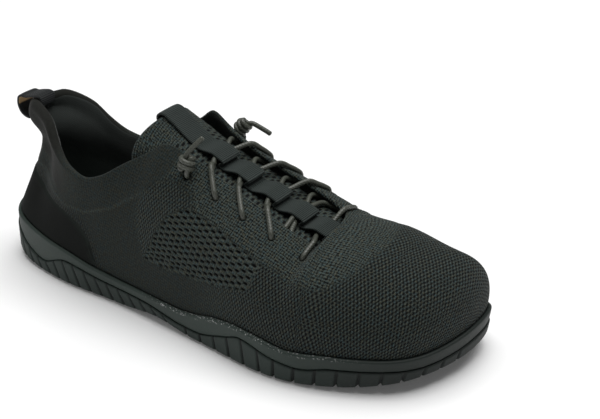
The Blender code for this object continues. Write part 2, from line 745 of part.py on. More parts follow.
def keep_as_cutter(part):
    """Move an object to the cutters, which are not part of the shoe."""
    for home in list(part.users_collection):
        home.objects.unlink(part)
    CUTTERS.objects.link(part)
    part.hide_render = True
    part.display_type = "WIRE"


def smooth_path(points, count):
    """Evenly spaced points on a smooth curve through a route's own points."""
    points = np.asarray(points, float)
    steps = np.linalg.norm(np.diff(points, axis=0), axis=1)
    knots = np.append(0.0, np.cumsum(steps))
    slope = np.gradient(points, knots, axis=0)
    dense = np.linspace(0.0, knots[-1], 40 * len(points))
    cell = np.clip(np.searchsorted(knots, dense, side="right") - 1, 0, len(knots) - 2)
    width = steps[cell][:, None]
    part = ((dense - knots[cell]) / steps[cell])[:, None]
    ease = part * part * (3.0 - 2.0 * part)
    line = points[cell] + (points[cell + 1] - points[cell]) * ease
    line += width * slope[cell] * part * (1.0 - part) ** 2
    line -= width * slope[cell + 1] * part * part * (1.0 - part)
    length = np.append(0.0, np.cumsum(np.linalg.norm(np.diff(line, axis=0), axis=1)))
    even = np.linspace(0.0, length[-1], count)
    return np.stack([np.interp(even, length, line[:, axis]) for axis in range(3)], axis=-1)


def tape_line():
    """Route of the tape's middle in the middle plane: over the tongue, up its loops and over its top."""
    marks = {TAPE_FRONT, TONGUE[-1].along}
    half = LOOP_HALF_LENGTH / SOLE_LENGTH
    for loop in TAPE_LOOPS:
        marks.update(loop + half * part for part in (-1.0, -0.85, -0.5, 0.0, 0.5, 0.85, 1.0))
    marks.update(np.linspace(TONGUE[-1].along, TAPE_LOOPS[0] - 1.4 * half, 6))
    along = np.array(sorted(marks, reverse=True))
    place = tongue_point(along, np.zeros_like(along))[:, [0, 2]]
    ahead = np.gradient(place, axis=0)
    ahead /= np.linalg.norm(ahead, axis=1, keepdims=True)
    lift = np.stack([ahead[:, 1], -ahead[:, 0]], axis=-1)
    rise = np.zeros(len(along))
    for loop in TAPE_LOOPS:
        part = np.clip((along - loop) / half, -1.0, 1.0)
        rise += LOOP_RISE * (1.0 - part ** 4)
    clear = GAP + 0.5 * TAPE_THICKNESS
    line = place + lift * (clear + rise)[:, None]
    depth = 0.5 * (TONGUE_THICKNESS + FOLD_SLACK)
    turn = depth + clear
    middle = place[-1] - lift[-1] * depth + ahead[-1] * 0.5 * FOLD_SLACK
    swing = np.linspace(0.5 * np.pi, -0.5 * np.pi, 6)
    fold = middle + turn * (np.outer(np.sin(swing), lift[-1]) + np.outer(np.cos(swing), ahead[-1]))
    tail = fold[-1] - ahead[-1] * TAPE_FOLD
    return np.vstack([line, fold, tail])


def strap_mesh(name, line, width, thickness):
    """A flat strap of one width along a line in the middle plane."""
    half = 0.5 * width
    grid = [[(x, -half, z), (x, half, z)] for x, z in line]
    return sheet_mesh(name, grid, thickness, 0.0)


def tube(name, path, diameter):
    """Round cord along a path as a closed mesh."""
    curve = bpy.data.curves.new(name, "CURVE")
    curve.dimensions = "3D"
    curve.bevel_depth = 0.5 * diameter * MM
    curve.bevel_resolution = 2
    curve.use_fill_caps = True
    line = curve.splines.new("POLY")
    line.points.add(len(path) - 1)
    for point, place in zip(line.points, in_metres(path)):
        point.co = (*place, 1.0)
    cord = bpy.data.objects.new(name + "_route", curve)
    SHOE.objects.link(cord)
    shape = cord.evaluated_get(bpy.context.evaluated_depsgraph_get())
    mesh = bpy.data.meshes.new_from_object(shape)
    mesh.name = name
    bpy.data.objects.remove(cord, do_unlink=True)
    bm = bmesh.new()
    bm.from_mesh(mesh)
    bmesh.ops.remove_doubles(bm, verts=bm.verts, dist=1e-6)
    bm.to_mesh(mesh)
    bm.free()
    part = bpy.data.objects.new(name, mesh)
    SHOE.objects.link(part)
    return part


def throat_angle(side, x):
    """Outline angle whose section ends on the throat's edge at a place along the shoe."""
    feet = np.linspace(OUTER_THROAT[-1].foot, RIDGE[-1].foot, 200)
    angle = np.array([side_angle(side, foot) for foot in feet])
    return np.interp(x, edge_point(angle)[:, 0], angle)


def strand_arm(side, over, x_edge, index):
    """Outer end of a strand: over the throat's edge to its lace hole, or under the edge."""
    radius = 0.5 * LACE_DIAMETER
    edge = throat_angle(side, x_edge)
    if not over:
        depth = -(KNIT_WALL + radius + UNDER_AIR)
        return [off_wall(edge, 1.0, depth), off_wall(edge, UNDER_SHARE, depth)]
    angle, share = eyelet_place(side, index)
    half_way = off_wall(0.5 * (edge + angle), 0.5 * (1.0 + share), radius + MIDWAY_AIR)
    return [off_wall(edge, 1.0, radius + EDGE_AIR), half_way, off_wall(angle, share, radius + HOLE_AIR)]


def strand_path(row):
    """Path of one strand through its loop of the tape."""
    x = TAPE_LOOPS[row.loop] * SOLE_LENGTH
    z = tongue_row(TAPE_LOOPS[row.loop])[0] + 0.5 * LACE_DIAMETER + LOOP_AIR
    first = strand_arm(row.side_a, row.over_a, x + row.shift_a, row.eyelet_a)
    last = strand_arm(row.side_b, row.over_b, x + row.shift_b, row.eyelet_b)
    inside = 0.5 * TAPE_WIDTH + STRAND_INSIDE
    lean_a = STRAND_LEAN * row.shift_a
    lean_b = STRAND_LEAN * row.shift_b
    passing = [
        (x + lean_a, row.side_a * inside, z + STRAND_SLOPE * lean_a),
        (x, 0.0, z),
        (x + lean_b, row.side_b * inside, z + STRAND_SLOPE * lean_b),
    ]
    return smooth_path(first[::-1] + passing + last, 10)


def make_lace_bars():
    """The lace in each loop of the tape: one bar, or two crossing strands joined."""
    bars = {}
    for row in STRANDS:
        name = f"lace_bar_{row.loop + 1}"
        if name not in bars:
            bars[name] = tube(name, strand_path(row), LACE_DIAMETER)
            continue
        other = tube(name + "_second", strand_path(row), LACE_DIAMETER)
        keep_as_cutter(other)
        join = bars[name].modifiers.new("crossing", "BOOLEAN")
        join.operation = "UNION"
        join.object = other


def make_lace_end(row):
    """Knot on the outside above the top lace hole, and the short tail that leaves it."""
    angle = side_angle(row.side, row.foot)
    centre = off_wall(angle, share_from_edge(angle, KNOT_INSET), KNOT_RADIUS + GAP)
    bm = bmesh.new()
    bmesh.ops.create_uvsphere(bm, u_segments=10, v_segments=6, radius=KNOT_RADIUS)
    bmesh.ops.translate(bm, vec=Vector(centre), verts=bm.verts)
    shoe_mesh("lace_knot_" + row.label, bm)
    heading = np.asarray(row.direction) / np.linalg.norm(row.direction)
    start = centre + heading * (KNOT_RADIUS + GAP)
    route = [start, start + heading * 0.5 * TAIL_LENGTH, start + heading * TAIL_LENGTH]
    tube("lace_tail_" + row.label, smooth_path(route, 5), LACE_DIAMETER)


def make_pull_loop():
    """Folded tape over the heel's top edge, standing off behind it."""
    route = smooth_path([(row.x, 0.0, row.z) for row in PULL_ROUTE], 22)
    return strap_mesh("pull_loop", route[:, [0, 2]], PULL_WIDTH, PULL_THICKNESS)


# Start from an empty scene
for old in list(bpy.data.objects):
    bpy.data.objects.remove(old, do_unlink=True)

SHOE = bpy.data.collections.new("barefoot_knit_sneaker")
CUTTERS = bpy.data.collections.new("cutters")
bpy.context.scene.collection.children.link(SHOE)
bpy.context.scene.collection.children.link(CUTTERS)

make_outsole()
make_midsole()
make_insole()
make_lace_holes(make_upper())
make_tongue()
make_counter()
strap_mesh("lace_webbing", tape_line(), TAPE_WIDTH, TAPE_THICKNESS)
make_lace_bars()
for row in LACE_ENDS:
    make_lace_end(row)
make_pull_loop()
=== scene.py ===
"""Looks of a low black knit lace-up barefoot shoe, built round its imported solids.

Every surface is a function of two parameters, worked out with numpy from the same tables as the
solids: millimetres from the back of the sole, +X to the toe, +Y to the inner side, +Z up.
"""

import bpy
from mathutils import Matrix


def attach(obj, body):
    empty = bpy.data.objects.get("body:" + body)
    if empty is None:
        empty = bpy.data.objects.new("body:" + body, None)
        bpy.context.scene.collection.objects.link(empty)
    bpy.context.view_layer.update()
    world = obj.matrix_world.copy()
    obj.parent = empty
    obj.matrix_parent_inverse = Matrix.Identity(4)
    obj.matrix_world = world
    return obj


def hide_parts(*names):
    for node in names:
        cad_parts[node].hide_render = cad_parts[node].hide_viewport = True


bl_info = {
    "name": "Barefoot knit sneaker",
    "version": (1, 0, 0),
    "blender": (4, 5, 0),
    "location": "View3D > Sidebar > Shoe",
    "description": "Builds the knit upper, rubber sole, lace and trim of a barefoot sneaker",
    "category": "Object",
}

from collections import namedtuple

import bmesh
import bpy
import numpy as np
from bpy.props import FloatProperty, FloatVectorProperty, PointerProperty
from mathutils import Vector

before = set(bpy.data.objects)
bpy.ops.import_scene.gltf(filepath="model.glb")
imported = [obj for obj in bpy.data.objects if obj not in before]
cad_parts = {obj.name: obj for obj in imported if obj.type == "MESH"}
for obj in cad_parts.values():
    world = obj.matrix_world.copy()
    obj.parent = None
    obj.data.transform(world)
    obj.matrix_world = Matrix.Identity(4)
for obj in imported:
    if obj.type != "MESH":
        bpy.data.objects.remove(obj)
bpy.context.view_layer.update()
MM = 0.001
# Clear space in millimetres between neighbouring pieces
GAP = 0.35


def linear(code):
    """Linear colour of an sRGB hex code."""
    parts = [int(code[i:i + 2], 16) / 255.0 for i in (0, 2, 4)]
    return tuple(p / 12.92 if p <= 0.04045 else ((p + 0.055) / 1.055) ** 2.4 for p in parts)


class ShoeSizes(bpy.types.PropertyGroup):
    """Sizes of the knit, tape and lace that a user may change."""

    lace: FloatProperty(name="Lace", description="Diameter of the round lace", default=0.0027, unit="LENGTH")
    pin_pitch: FloatProperty(
        name="Pinholes", description="Spacing of the pinholes along their rows, over the toes",
        default=0.0019, unit="LENGTH")
    mesh_pitch: FloatProperty(
        name="Open mesh", description="Spacing of the holes along their rows, in the side panel",
        default=0.0074, unit="LENGTH")
    mesh_depth: FloatProperty(
        name="Mesh depth", description="Depth of the holes in the side panel", default=0.0008, unit="LENGTH")
    rib_pitch: FloatProperty(
        name="Tape ribs", description="Spacing of the ribs across the tape", default=0.00095, unit="LENGTH")


class ShoeColours(bpy.types.PropertyGroup):
    """Colours of the yarns, cloths and rubbers."""

    knit: FloatVectorProperty(
        name="Knit", description="Charcoal yarn of the upper", subtype="COLOR", default=linear("373e3a"))
    hole: FloatVectorProperty(
        name="Holes", description="Shade inside the knit's holes", subtype="COLOR", default=linear("040505"))
    brushed: FloatVectorProperty(
        name="Brushed heel", description="Napped cloth round the heel's top", subtype="COLOR",
        default=linear("1c1d1a"))
    lining: FloatVectorProperty(
        name="Lining", description="Smooth cloth inside", subtype="COLOR", default=linear("3c403e"))
    counter: FloatVectorProperty(
        name="Heel counter", description="Suede-like film round the heel", subtype="COLOR",
        default=linear("0e110f"))
    band: FloatVectorProperty(
        name="Sole band", description="Smooth rubber of the sole's band", subtype="COLOR",
        default=linear("2d3833"))
    rubber: FloatVectorProperty(
        name="Ribbed sole", description="Ribbed rubber under the band", subtype="COLOR",
        default=linear("28322e"))
    tape: FloatVectorProperty(
        name="Tape", description="Woven tape of the lace loops", subtype="COLOR", default=linear("28312e"))
    lace: FloatVectorProperty(
        name="Lace", description="Olive grey braid of the lace", subtype="COLOR", default=linear("484b43"))
    pull: FloatVectorProperty(
        name="Pull loop", description="Outer face of the pull loop", subtype="COLOR",
        default=linear("161a1b"))
    # Partly the footbed cloth's colour, partly painted light that lifts the shaded inside of the shoe
    terry: FloatVectorProperty(
        name="Footbed", description="Cloth of the footbed and of the lining's foot", subtype="COLOR",
        default=linear("555b58"))
    tan: FloatVectorProperty(
        name="Tan tape", description="Inner face of the pull loop", subtype="COLOR",
        default=linear("b79a70"))


# Driving sizes in millimetres
SOLE_LENGTH = 288.0
HEEL_FLARE = 1.2
MIDDLE = 0.5 * (SOLE_LENGTH - HEEL_FLARE)
BALL_WIDTH = 104.0
INSTEP_HEIGHT = 110.0
HEEL_HEIGHT = 99.0
KNIT_WALL = 2.2
COLLAR_PAD = 8.0
LACE_ROOM = 2.8
TAPE_WIDTH = 15.2
TAPE_THICKNESS = 1.1

# Outline of the sole's lip: share of the length, shares of the ball width to each side
Outline = namedtuple("Outline", "along outer inner")
OUTLINE = [
    Outline(0.00, 0.000, 0.000),
    Outline(0.03, 0.197, 0.185),
    Outline(0.10, 0.293, 0.298),
    Outline(0.20, 0.352, 0.337),
    Outline(0.32, 0.365, 0.322),
    Outline(0.45, 0.407, 0.327),
    Outline(0.58, 0.460, 0.404),
    Outline(0.70, 0.504, 0.476),
    Outline(0.80, 0.464, 0.495),
    Outline(0.90, 0.348, 0.476),
    Outline(0.96, 0.199, 0.448),
    Outline(0.985, 0.048, 0.400),
    Outline(1.00, -0.190, 0.190),
]

# Heights along the sole: underside with arch and toe spring
Height = namedtuple("Height", "along z")
UNDERSIDE = [
    Height(0.00, 6.0), Height(0.04, 2.6), Height(0.12, 0.0), Height(0.33, 0.0),
    Height(0.43, 2.6), Height(0.53, 0.0), Height(0.74, 0.0), Height(0.84, 2.0),
    Height(0.92, 5.2), Height(0.97, 8.0), Height(1.00, 9.5),
]
# Upper lip of the smooth band
LIP = [
    Height(0.00, 31.0), Height(0.03, 29.0), Height(0.12, 25.6), Height(0.20, 23.2),
    Height(0.28, 18.6), Height(0.35, 16.7), Height(0.48, 16.0), Height(0.53, 17.5),
    Height(0.58, 21.2), Height(0.64, 23.3), Height(0.69, 22.5), Height(0.75, 19.8),
    Height(0.82, 20.8), Height(0.90, 20.9), Height(0.96, 21.8), Height(1.00, 25.0),
]
# Waved step between the ribbed rubber below and the smooth band above
WAVE = [
    Height(0.00, 24.0), Height(0.03, 19.5), Height(0.075, 11.5), Height(0.12, 8.0),
    Height(0.20, 15.8), Height(0.30, 12.0), Height(0.41, 10.2), Height(0.49, 6.6),
    Height(0.53, 6.4), Height(0.61, 13.2), Height(0.65, 17.4), Height(0.72, 12.4),
    Height(0.77, 10.4), Height(0.83, 13.5), Height(0.90, 13.9), Height(0.96, 14.2),
    Height(1.00, 17.0),
]
# Inset of the sole's wall at the underside: it bulges behind the heel and tucks in elsewhere
Slope = namedtuple("Slope", "along inset")
WALL_SLOPE = [
    Slope(0.00, -0.4), Slope(0.06, 1.0), Slope(0.15, 2.6), Slope(0.30, 3.0), Slope(0.90, 3.0),
    Slope(1.00, 2.0),
]
# The ribs stand out past the wall, the ribbed rubber's skirt lies inside it, and a gap parts the rubbers
RIB_STEP = 0.8
SKIRT = 1.3
STEP_GAP = 0.45
# Cup of the band: width of its lip, slope of its inner wall, height of the core under it, and its floor
LIP_WIDTH = 2.0
CUP_SLOPE = 0.8
CORE_HEIGHT = 3.4
CUP_FLOOR = 3.0
INSOLE_THICKNESS = 3.0

# Upright grooves of the ribbed rubber, which run on under the sole between its cross lugs
Grooves = namedtuple("Grooves", "start end count width depth")
GROOVES = [
    Grooves(0.004, 0.46, 18, 2.0, 1.0),
    Grooves(0.51, 0.69, 6, 2.2, 1.1),
    Grooves(0.72, 0.992, 10, 2.4, 1.2),
]
# Lean of each zone's grooves over the rubber's height, share of the width that is cut, and the lugs
GROOVE_LEAN = (3.0, 0.0, -1.0)
GROOVE_SHARE = 0.36
LUG_DEPTH = 1.4

# Ridge over the toes: station of the foot line, then the top point
Ridge = namedtuple("Ridge", "foot along across up")
RIDGE = [
    Ridge(1.000, 0.880, 0.100, 0.562),
    Ridge(0.900, 0.880, 0.100, 0.562),
    Ridge(0.830, 0.822, 0.060, 0.598),
    Ridge(0.755, 0.743, 0.010, 0.612),
]
RIDGE_SLOPE = 0.21

# Edge of the throat and collar: station of the foot line, then the edge point
Edge = namedtuple("Edge", "foot along across up")
OUTER_THROAT = [
    Edge(0.728, 0.733, -0.154, 0.564),
    Edge(0.698, 0.702, -0.170, 0.607),
    Edge(0.650, 0.660, -0.183, 0.660),
    Edge(0.605, 0.615, -0.188, 0.714),
    Edge(0.562, 0.573, -0.183, 0.755),
    Edge(0.520, 0.531, -0.180, 0.800),
    Edge(0.474, 0.486, -0.188, 0.859),
    Edge(0.418, 0.427, -0.212, 0.905),
]
OUTER_COLLAR = [
    Edge(0.380, 0.391, -0.250, 0.942),
    Edge(0.342, 0.353, -0.288, 0.876),
    Edge(0.284, 0.292, -0.327, 0.760),
    Edge(0.248, 0.254, -0.327, 0.722),
    Edge(0.206, 0.208, -0.312, 0.752),
    Edge(0.160, 0.165, -0.269, 0.820),
    Edge(0.105, 0.118, -0.190, 0.920),
    Edge(0.035, 0.058, -0.090, 0.962),
]
INNER_THROAT = [
    Edge(0.728, 0.718, 0.190, 0.594),
    Edge(0.690, 0.688, 0.200, 0.630),
    Edge(0.645, 0.642, 0.202, 0.677),
    Edge(0.600, 0.597, 0.197, 0.718),
    Edge(0.555, 0.552, 0.188, 0.764),
    Edge(0.513, 0.510, 0.180, 0.814),
    Edge(0.470, 0.469, 0.192, 0.864),
    Edge(0.415, 0.417, 0.231, 0.923),
]
INNER_COLLAR = [
    Edge(0.375, 0.378, 0.260, 0.949),
    Edge(0.332, 0.337, 0.288, 0.859),
    Edge(0.272, 0.278, 0.308, 0.737),
    Edge(0.224, 0.229, 0.313, 0.697),
    Edge(0.182, 0.188, 0.293, 0.727),
    Edge(0.140, 0.147, 0.269, 0.798),
    Edge(0.100, 0.115, 0.226, 0.889),
    Edge(0.035, 0.069, 0.115, 0.972),
]
HEEL_EDGE = Edge(0.0, 0.044, 0.0, 0.966)

# Padded swell at the heel's top: how far it stands out, its place and width on the wall, and the
# share of the length that it fades over
SWELL = 6.7
SWELL_SHARE = 0.85
SWELL_WIDTH = 0.128
SWELL_REACH = 0.16

# Curve of the wall: lean at the lip from upright, lean at the edge from level, and fullness
Wall = namedtuple("Wall", "foot lip_lean edge_lean low high")
WALL = [
    Wall(1.00, -9.0, 0.0, 0.53, 0.45),
    Wall(0.90, -9.0, 0.0, 0.40, 0.52),
    Wall(0.755, -4.0, 0.0, 0.38, 0.62),
    Wall(0.728, -4.0, 9.0, 0.41, 0.54),
    Wall(0.69, -4.0, 13.0, 0.42, 0.46),
    Wall(0.60, -3.0, 20.0, 0.44, 0.36),
    Wall(0.50, -1.0, 28.0, 0.46, 0.30),
    Wall(0.42, 0.0, 45.0, 0.44, 0.30),
    Wall(0.34, -2.0, 72.0, 0.40, 0.34),
    Wall(0.25, -3.0, 92.0, 0.38, 0.34),
    Wall(0.16, 3.0, 102.0, 0.38, 0.36),
    Wall(0.08, 15.0, 123.5, 0.40, 0.40),
    Wall(0.00, 23.0, 116.5, 0.35, 0.30),
]
# Distance over which the wall's heading turns from square to the lip to straight at the edge
HEADING_START = 8.0
HEADING_BLEND = 10.0
# Collar pad: share of the length that it fades over, then where it starts up the wall and its rise
PAD_REACH = 0.30
PAD_START = 0.45
PAD_RISE = 0.3

# Tongue: top face at the middle, half widths, then drop, squareness and backward sweep of the sides
Tongue = namedtuple("Tongue", "along z outer inner drop square sweep")
TONGUE = [
    Tongue(0.775, 57.8, 18.0, 18.0, 2.5, 4.0, 0.0),
    Tongue(0.743, 58.7, 26.0, 26.0, 6.0, 4.0, 0.0),
    Tongue(0.700, 62.4, 29.5, 30.0, 9.0, 4.0, 0.0),
    Tongue(0.630, 70.4, 30.0, 29.0, 11.0, 4.0, 0.0),
    Tongue(0.560, 78.6, 29.5, 26.5, 11.0, 3.6, 0.0),
    Tongue(0.490, 87.6, 28.5, 25.0, 13.0, 3.2, 0.0),
    Tongue(0.430, 97.4, 26.4, 25.5, 15.5, 2.6, 3.0),
    Tongue(0.395, 104.6, 24.6, 25.2, 19.5, 2.4, 6.5),
    Tongue(0.380, 106.9, 24.8, 25.0, 20.6, 2.4, 8.4),
]
TONGUE_THICKNESS = 2.6

# Raised loops of the tape, as shares of the length from the top down, and their size
TAPE_LOOPS = (0.487, 0.543, 0.604, 0.661, 0.711)
LOOP_RISE = 4.0
TAPE_FRONT = 0.7335
TAPE_FOLD = 9.0
FOLD_SLACK = 1.6

# Lace holes: station of the foot line, and distance in from the edge
EYELET_FEET = (0.478, 0.541, 0.603, 0.663, 0.725)
EYELET_INSET = 10.5

# Heel counter: station of the foot line and the height it reaches on the wall
Counter = namedtuple("Counter", "foot share")
COUNTER = [
    Counter(0.000, 0.40), Counter(0.050, 0.37), Counter(0.100, 0.36), Counter(0.160, 0.42),
    Counter(0.205, 0.45), Counter(0.240, 0.40), Counter(0.262, 0.28), Counter(0.276, 0.05),
]
COUNTER_START = 0.012

# Lace strands: loop of the tape, then side, route, edge offset and eyelet of each end
Strand = namedtuple("Strand", "loop side_a over_a shift_a eyelet_a side_b over_b shift_b eyelet_b")
STRANDS = [
    Strand(0, -1, True, 8.5, 1, 1, False, -2.5, 0),
    Strand(0, 1, True, 8.5, 1, -1, False, 8.0, 0),
    Strand(1, -1, True, 10.0, 2, 1, False, -2.5, 1),
    Strand(1, 1, True, 10.0, 2, -1, False, 8.0, 1),
    Strand(2, -1, True, 10.0, 3, 1, False, -2.5, 2),
    Strand(2, 1, True, 10.0, 3, -1, False, 8.0, 2),
    Strand(3, -1, False, 8.5, 4, 1, False, -2.5, 3),
    Strand(3, 1, False, 5.0, 4, -1, False, 4.0, 3),
    Strand(4, -1, True, 4.5, 4, 1, True, 2.0, 4),
]
# Knots at the lace's ends: radius, distance in from the knit's edge, and the tail past them
KNOT_RADIUS = 4.4
KNOT_INSET = 6.0
TAIL_LENGTH = 10.5

# Pull loop behind the heel: route in the middle plane
Route = namedtuple("Route", "x z")
PULL_ROUTE = [
    Route(25.0, 92.6), Route(25.0, 95.4), Route(23.6, 97.6), Route(20.6, 98.3), Route(16.4, 98.4),
    Route(12.4, 97.7), Route(8.6, 96.6), Route(5.2, 95.3), Route(3.0, 93.4), Route(2.2, 90.6),
    Route(2.6, 87.2), Route(4.4, 84.1), Route(7.2, 82.4), Route(10.1, 81.9),
]
PULL_WIDTH = 12.0
PULL_THICKNESS = 1.2


def station_angle(share):
    """Angle round the outline for a share of the length: 0 at the heel, pi at the toe."""
    return np.arccos(1.0 - 2.0 * np.asarray(share, float))


def station_share(angle):
    """Share of the length at an angle round the outline."""
    return 0.5 * (1.0 - np.cos(angle))


def ease(low, high, value):
    """Smooth step from 0 below low to 1 above high."""
    part = np.clip((value - low) / (high - low), 0.0, 1.0)
    return part * part * (3.0 - 2.0 * part)


def smooth_steps(knots, values, query):
    """Smooth curve through the values that never overshoots them."""
    knots = np.asarray(knots, float)
    values = np.asarray(values, float)
    query = np.clip(np.asarray(query, float), knots[0], knots[-1])
    width = np.diff(knots)
    rise = np.diff(values) / width
    slope = np.zeros(len(knots))
    same = rise[:-1] * rise[1:] > 0
    before = 2.0 * width[1:] + width[:-1]
    after = width[1:] + 2.0 * width[:-1]
    safe_low = np.where(same, rise[:-1], 1.0)
    safe_high = np.where(same, rise[1:], 1.0)
    slope[1:-1] = np.where(same, (before + after) / (before / safe_low + after / safe_high), 0.0)
    cell = np.clip(np.searchsorted(knots, query, side="right") - 1, 0, len(knots) - 2)
    part = (query - knots[cell]) / width[cell]
    value = values[cell] + (values[cell + 1] - values[cell]) * ease(0.0, 1.0, part)
    value += width[cell] * slope[cell] * part * (1.0 - part) ** 2
    value -= width[cell] * slope[cell + 1] * part * part * (1.0 - part)
    return value


def even_column(rows, name, angle):
    """A table's column by outline angle, the same on both sides and level at heel and toe."""
    knots = [station_angle(row[0]) for row in rows]
    values = [getattr(row, name) for row in rows]
    if knots[0] > knots[-1]:
        knots = knots[::-1]
        values = values[::-1]
    folded = np.pi - np.abs(np.pi - np.mod(angle, 2.0 * np.pi))
    return smooth_steps(knots, values, folded)


def periodic_spline(knots, values, query):
    """Closed cubic spline with a period of one full turn."""
    count = len(knots)
    width = np.append(np.diff(knots), knots[0] + 2.0 * np.pi - knots[-1])
    rise = (np.roll(values, -1) - values) / width
    matrix = np.zeros((count, count))
    right = np.zeros(count)
    for row in range(count):
        matrix[row, row - 1] += width[row - 1]
        matrix[row, row] += 2.0 * (width[row - 1] + width[row])
        matrix[row, (row + 1) % count] += width[row]
        right[row] = 6.0 * (rise[row] - rise[row - 1])
    bend = np.linalg.solve(matrix, right)
    turn = np.mod(np.asarray(query, float) - knots[0], 2.0 * np.pi) + knots[0]
    cell = np.searchsorted(knots, turn, side="right") - 1
    following = (cell + 1) % count
    step = turn - knots[cell]
    first = rise[cell] - width[cell] * (2.0 * bend[cell] + bend[following]) / 6.0
    cubic = (bend[following] - bend[cell]) / (6.0 * width[cell])
    return values[cell] + step * (first + step * (0.5 * bend[cell] + step * cubic))


def outline_knots():
    """Angles and widths of the outline, out along the outer side and back along the inner."""
    outer = [(station_angle(row.along), -row.outer) for row in OUTLINE]
    inner = [(2.0 * np.pi - station_angle(row.along), row.inner) for row in OUTLINE[1:-1]]
    pairs = outer + inner[::-1]
    return np.array([pair[0] for pair in pairs]), np.array([pair[1] for pair in pairs])


OUTLINE_ANGLES, OUTLINE_WIDTHS = outline_knots()


def lip_line(angle):
    """Plan of the lip."""
    x = SOLE_LENGTH * station_share(angle)
    y = BALL_WIDTH * periodic_spline(OUTLINE_ANGLES, OUTLINE_WIDTHS, angle)
    return np.stack([x, y], axis=-1)


def lip_inward(angle):
    """Level direction square to the lip, to the inside of the shoe."""
    nudge = 1e-4
    along = lip_line(angle + nudge) - lip_line(angle - nudge)
    along /= np.linalg.norm(along, axis=-1, keepdims=True)
    return np.stack([-along[..., 1], along[..., 0]], axis=-1)


Sole = namedtuple("Sole", "low wave lip core floor")


def sole_heights(angle):
    """Underside, waved step, lip, core and cup floor heights round the outline."""
    low = even_column(UNDERSIDE, "z", angle)
    wave = even_column(WAVE, "z", angle)
    lip = even_column(LIP, "z", angle)
    core = low + CORE_HEIGHT
    return Sole(low, wave, lip, core, core + GAP + CUP_FLOOR)


def wall_inset(angle, z):
    """Inset of the sole's outer wall at a height: none at the lip, all of it at the underside."""
    sole = sole_heights(angle)
    return even_column(WALL_SLOPE, "inset", angle) * (sole.lip - z) / (sole.lip - sole.low)


def ring(angle, inset, z):
    """One closed line round the shoe."""
    inset = np.broadcast_to(inset, np.shape(angle))
    plan = lip_line(angle) + lip_inward(angle) * inset[:, None]
    return np.column_stack([plan, np.broadcast_to(z, np.shape(angle))])


def half_and_mirror(half):
    """Angles of a whole turn from those of the outer half, heel and toe included."""
    half = np.asarray(half)
    return np.concatenate([half, 2.0 * np.pi - half[-2:0:-1]])


def cup_inset(angle):
    """Inset of the cup's inner wall at its floor."""
    return wall_inset(angle, sole_heights(angle).floor) + LIP_WIDTH + CUP_SLOPE


def edge_ring():
    """Signed angles and points of the throat and collar edge, heel in the middle."""
    outer = OUTER_THROAT + OUTER_COLLAR
    inner = INNER_THROAT + INNER_COLLAR
    throat = RIDGE[-1]
    angles = [-station_angle(throat.foot)] + [-station_angle(row.foot) for row in outer] + [0.0]
    angles += [station_angle(row.foot) for row in inner[::-1]] + [station_angle(throat.foot)]

    def place(row, height):
        return (row.along * SOLE_LENGTH, row.across * BALL_WIDTH, row.up * height)

    points = [place(throat, INSTEP_HEIGHT)]
    points += [place(row, INSTEP_HEIGHT) for row in OUTER_THROAT]
    points += [place(row, HEEL_HEIGHT) for row in OUTER_COLLAR]
    points += [place(HEEL_EDGE, HEEL_HEIGHT)]
    points += [place(row, HEEL_HEIGHT) for row in INNER_COLLAR[::-1]]
    points += [place(row, INSTEP_HEIGHT) for row in INNER_THROAT[::-1]]
    points += [place(throat, INSTEP_HEIGHT)]
    return np.array(angles), np.array(points)


EDGE_ANGLES, EDGE_POINTS = edge_ring()


def signed_angle(angle):
    """Outline angle counted from the heel, negative on the outer side."""
    return np.where(angle > np.pi, 2.0 * np.pi - angle, -angle)


def over_toes(angle):
    """Whether the section at an outline angle ends on the ridge over the toes."""
    return np.abs(signed_angle(angle)) >= station_angle(RIDGE[-1].foot) - 1e-9


def edge_point(angle):
    """Top point of the section at an outline angle: on the ridge, or on the opening's edge."""
    signed = signed_angle(angle)
    on_edge = [smooth_steps(EDGE_ANGLES, EDGE_POINTS[:, axis], signed) for axis in range(3)]
    sizes = (SOLE_LENGTH, BALL_WIDTH, INSTEP_HEIGHT)
    names = ("along", "across", "up")
    on_ridge = [size * even_column(RIDGE, name, angle) for size, name in zip(sizes, names)]
    return np.where(over_toes(angle)[..., None], np.stack(on_ridge, -1), np.stack(on_edge, -1))


def wall_section(angle):
    """Four control points of the knit wall's curve from the lip to its top edge."""
    angle = np.asarray(angle, float)
    inward = lip_inward(angle)
    plan = lip_line(angle) + inward * (LIP_WIDTH + GAP)
    start = np.concatenate([plan, sole_heights(angle).lip[..., None]], axis=-1)
    top = edge_point(angle)
    reach = top[..., :2] - plan
    distance = np.linalg.norm(reach, axis=-1, keepdims=True)
    share = np.clip((distance - HEADING_START) / HEADING_BLEND, 0.0, 1.0)
    heading = share * reach / np.maximum(distance, 1e-6) + (1.0 - share) * inward
    heading /= np.linalg.norm(heading, axis=-1, keepdims=True)
    chord = np.linalg.norm(top - start, axis=-1, keepdims=True)
    lip_lean = np.radians(even_column(WALL, "lip_lean", angle))[..., None]
    edge_lean = np.radians(even_column(WALL, "edge_lean", angle))[..., None]
    low_reach = chord * even_column(WALL, "low", angle)[..., None]
    high_reach = chord * even_column(WALL, "high", angle)[..., None]
    rising = np.concatenate([inward * np.sin(lip_lean), np.cos(lip_lean)], axis=-1)
    climb = np.sin(edge_lean) - RIDGE_SLOPE * heading[..., :1] * np.cos(edge_lean)
    arriving = np.concatenate([heading * np.cos(edge_lean), climb], axis=-1)
    return start, start + low_reach * rising, top - high_reach * arriving, top


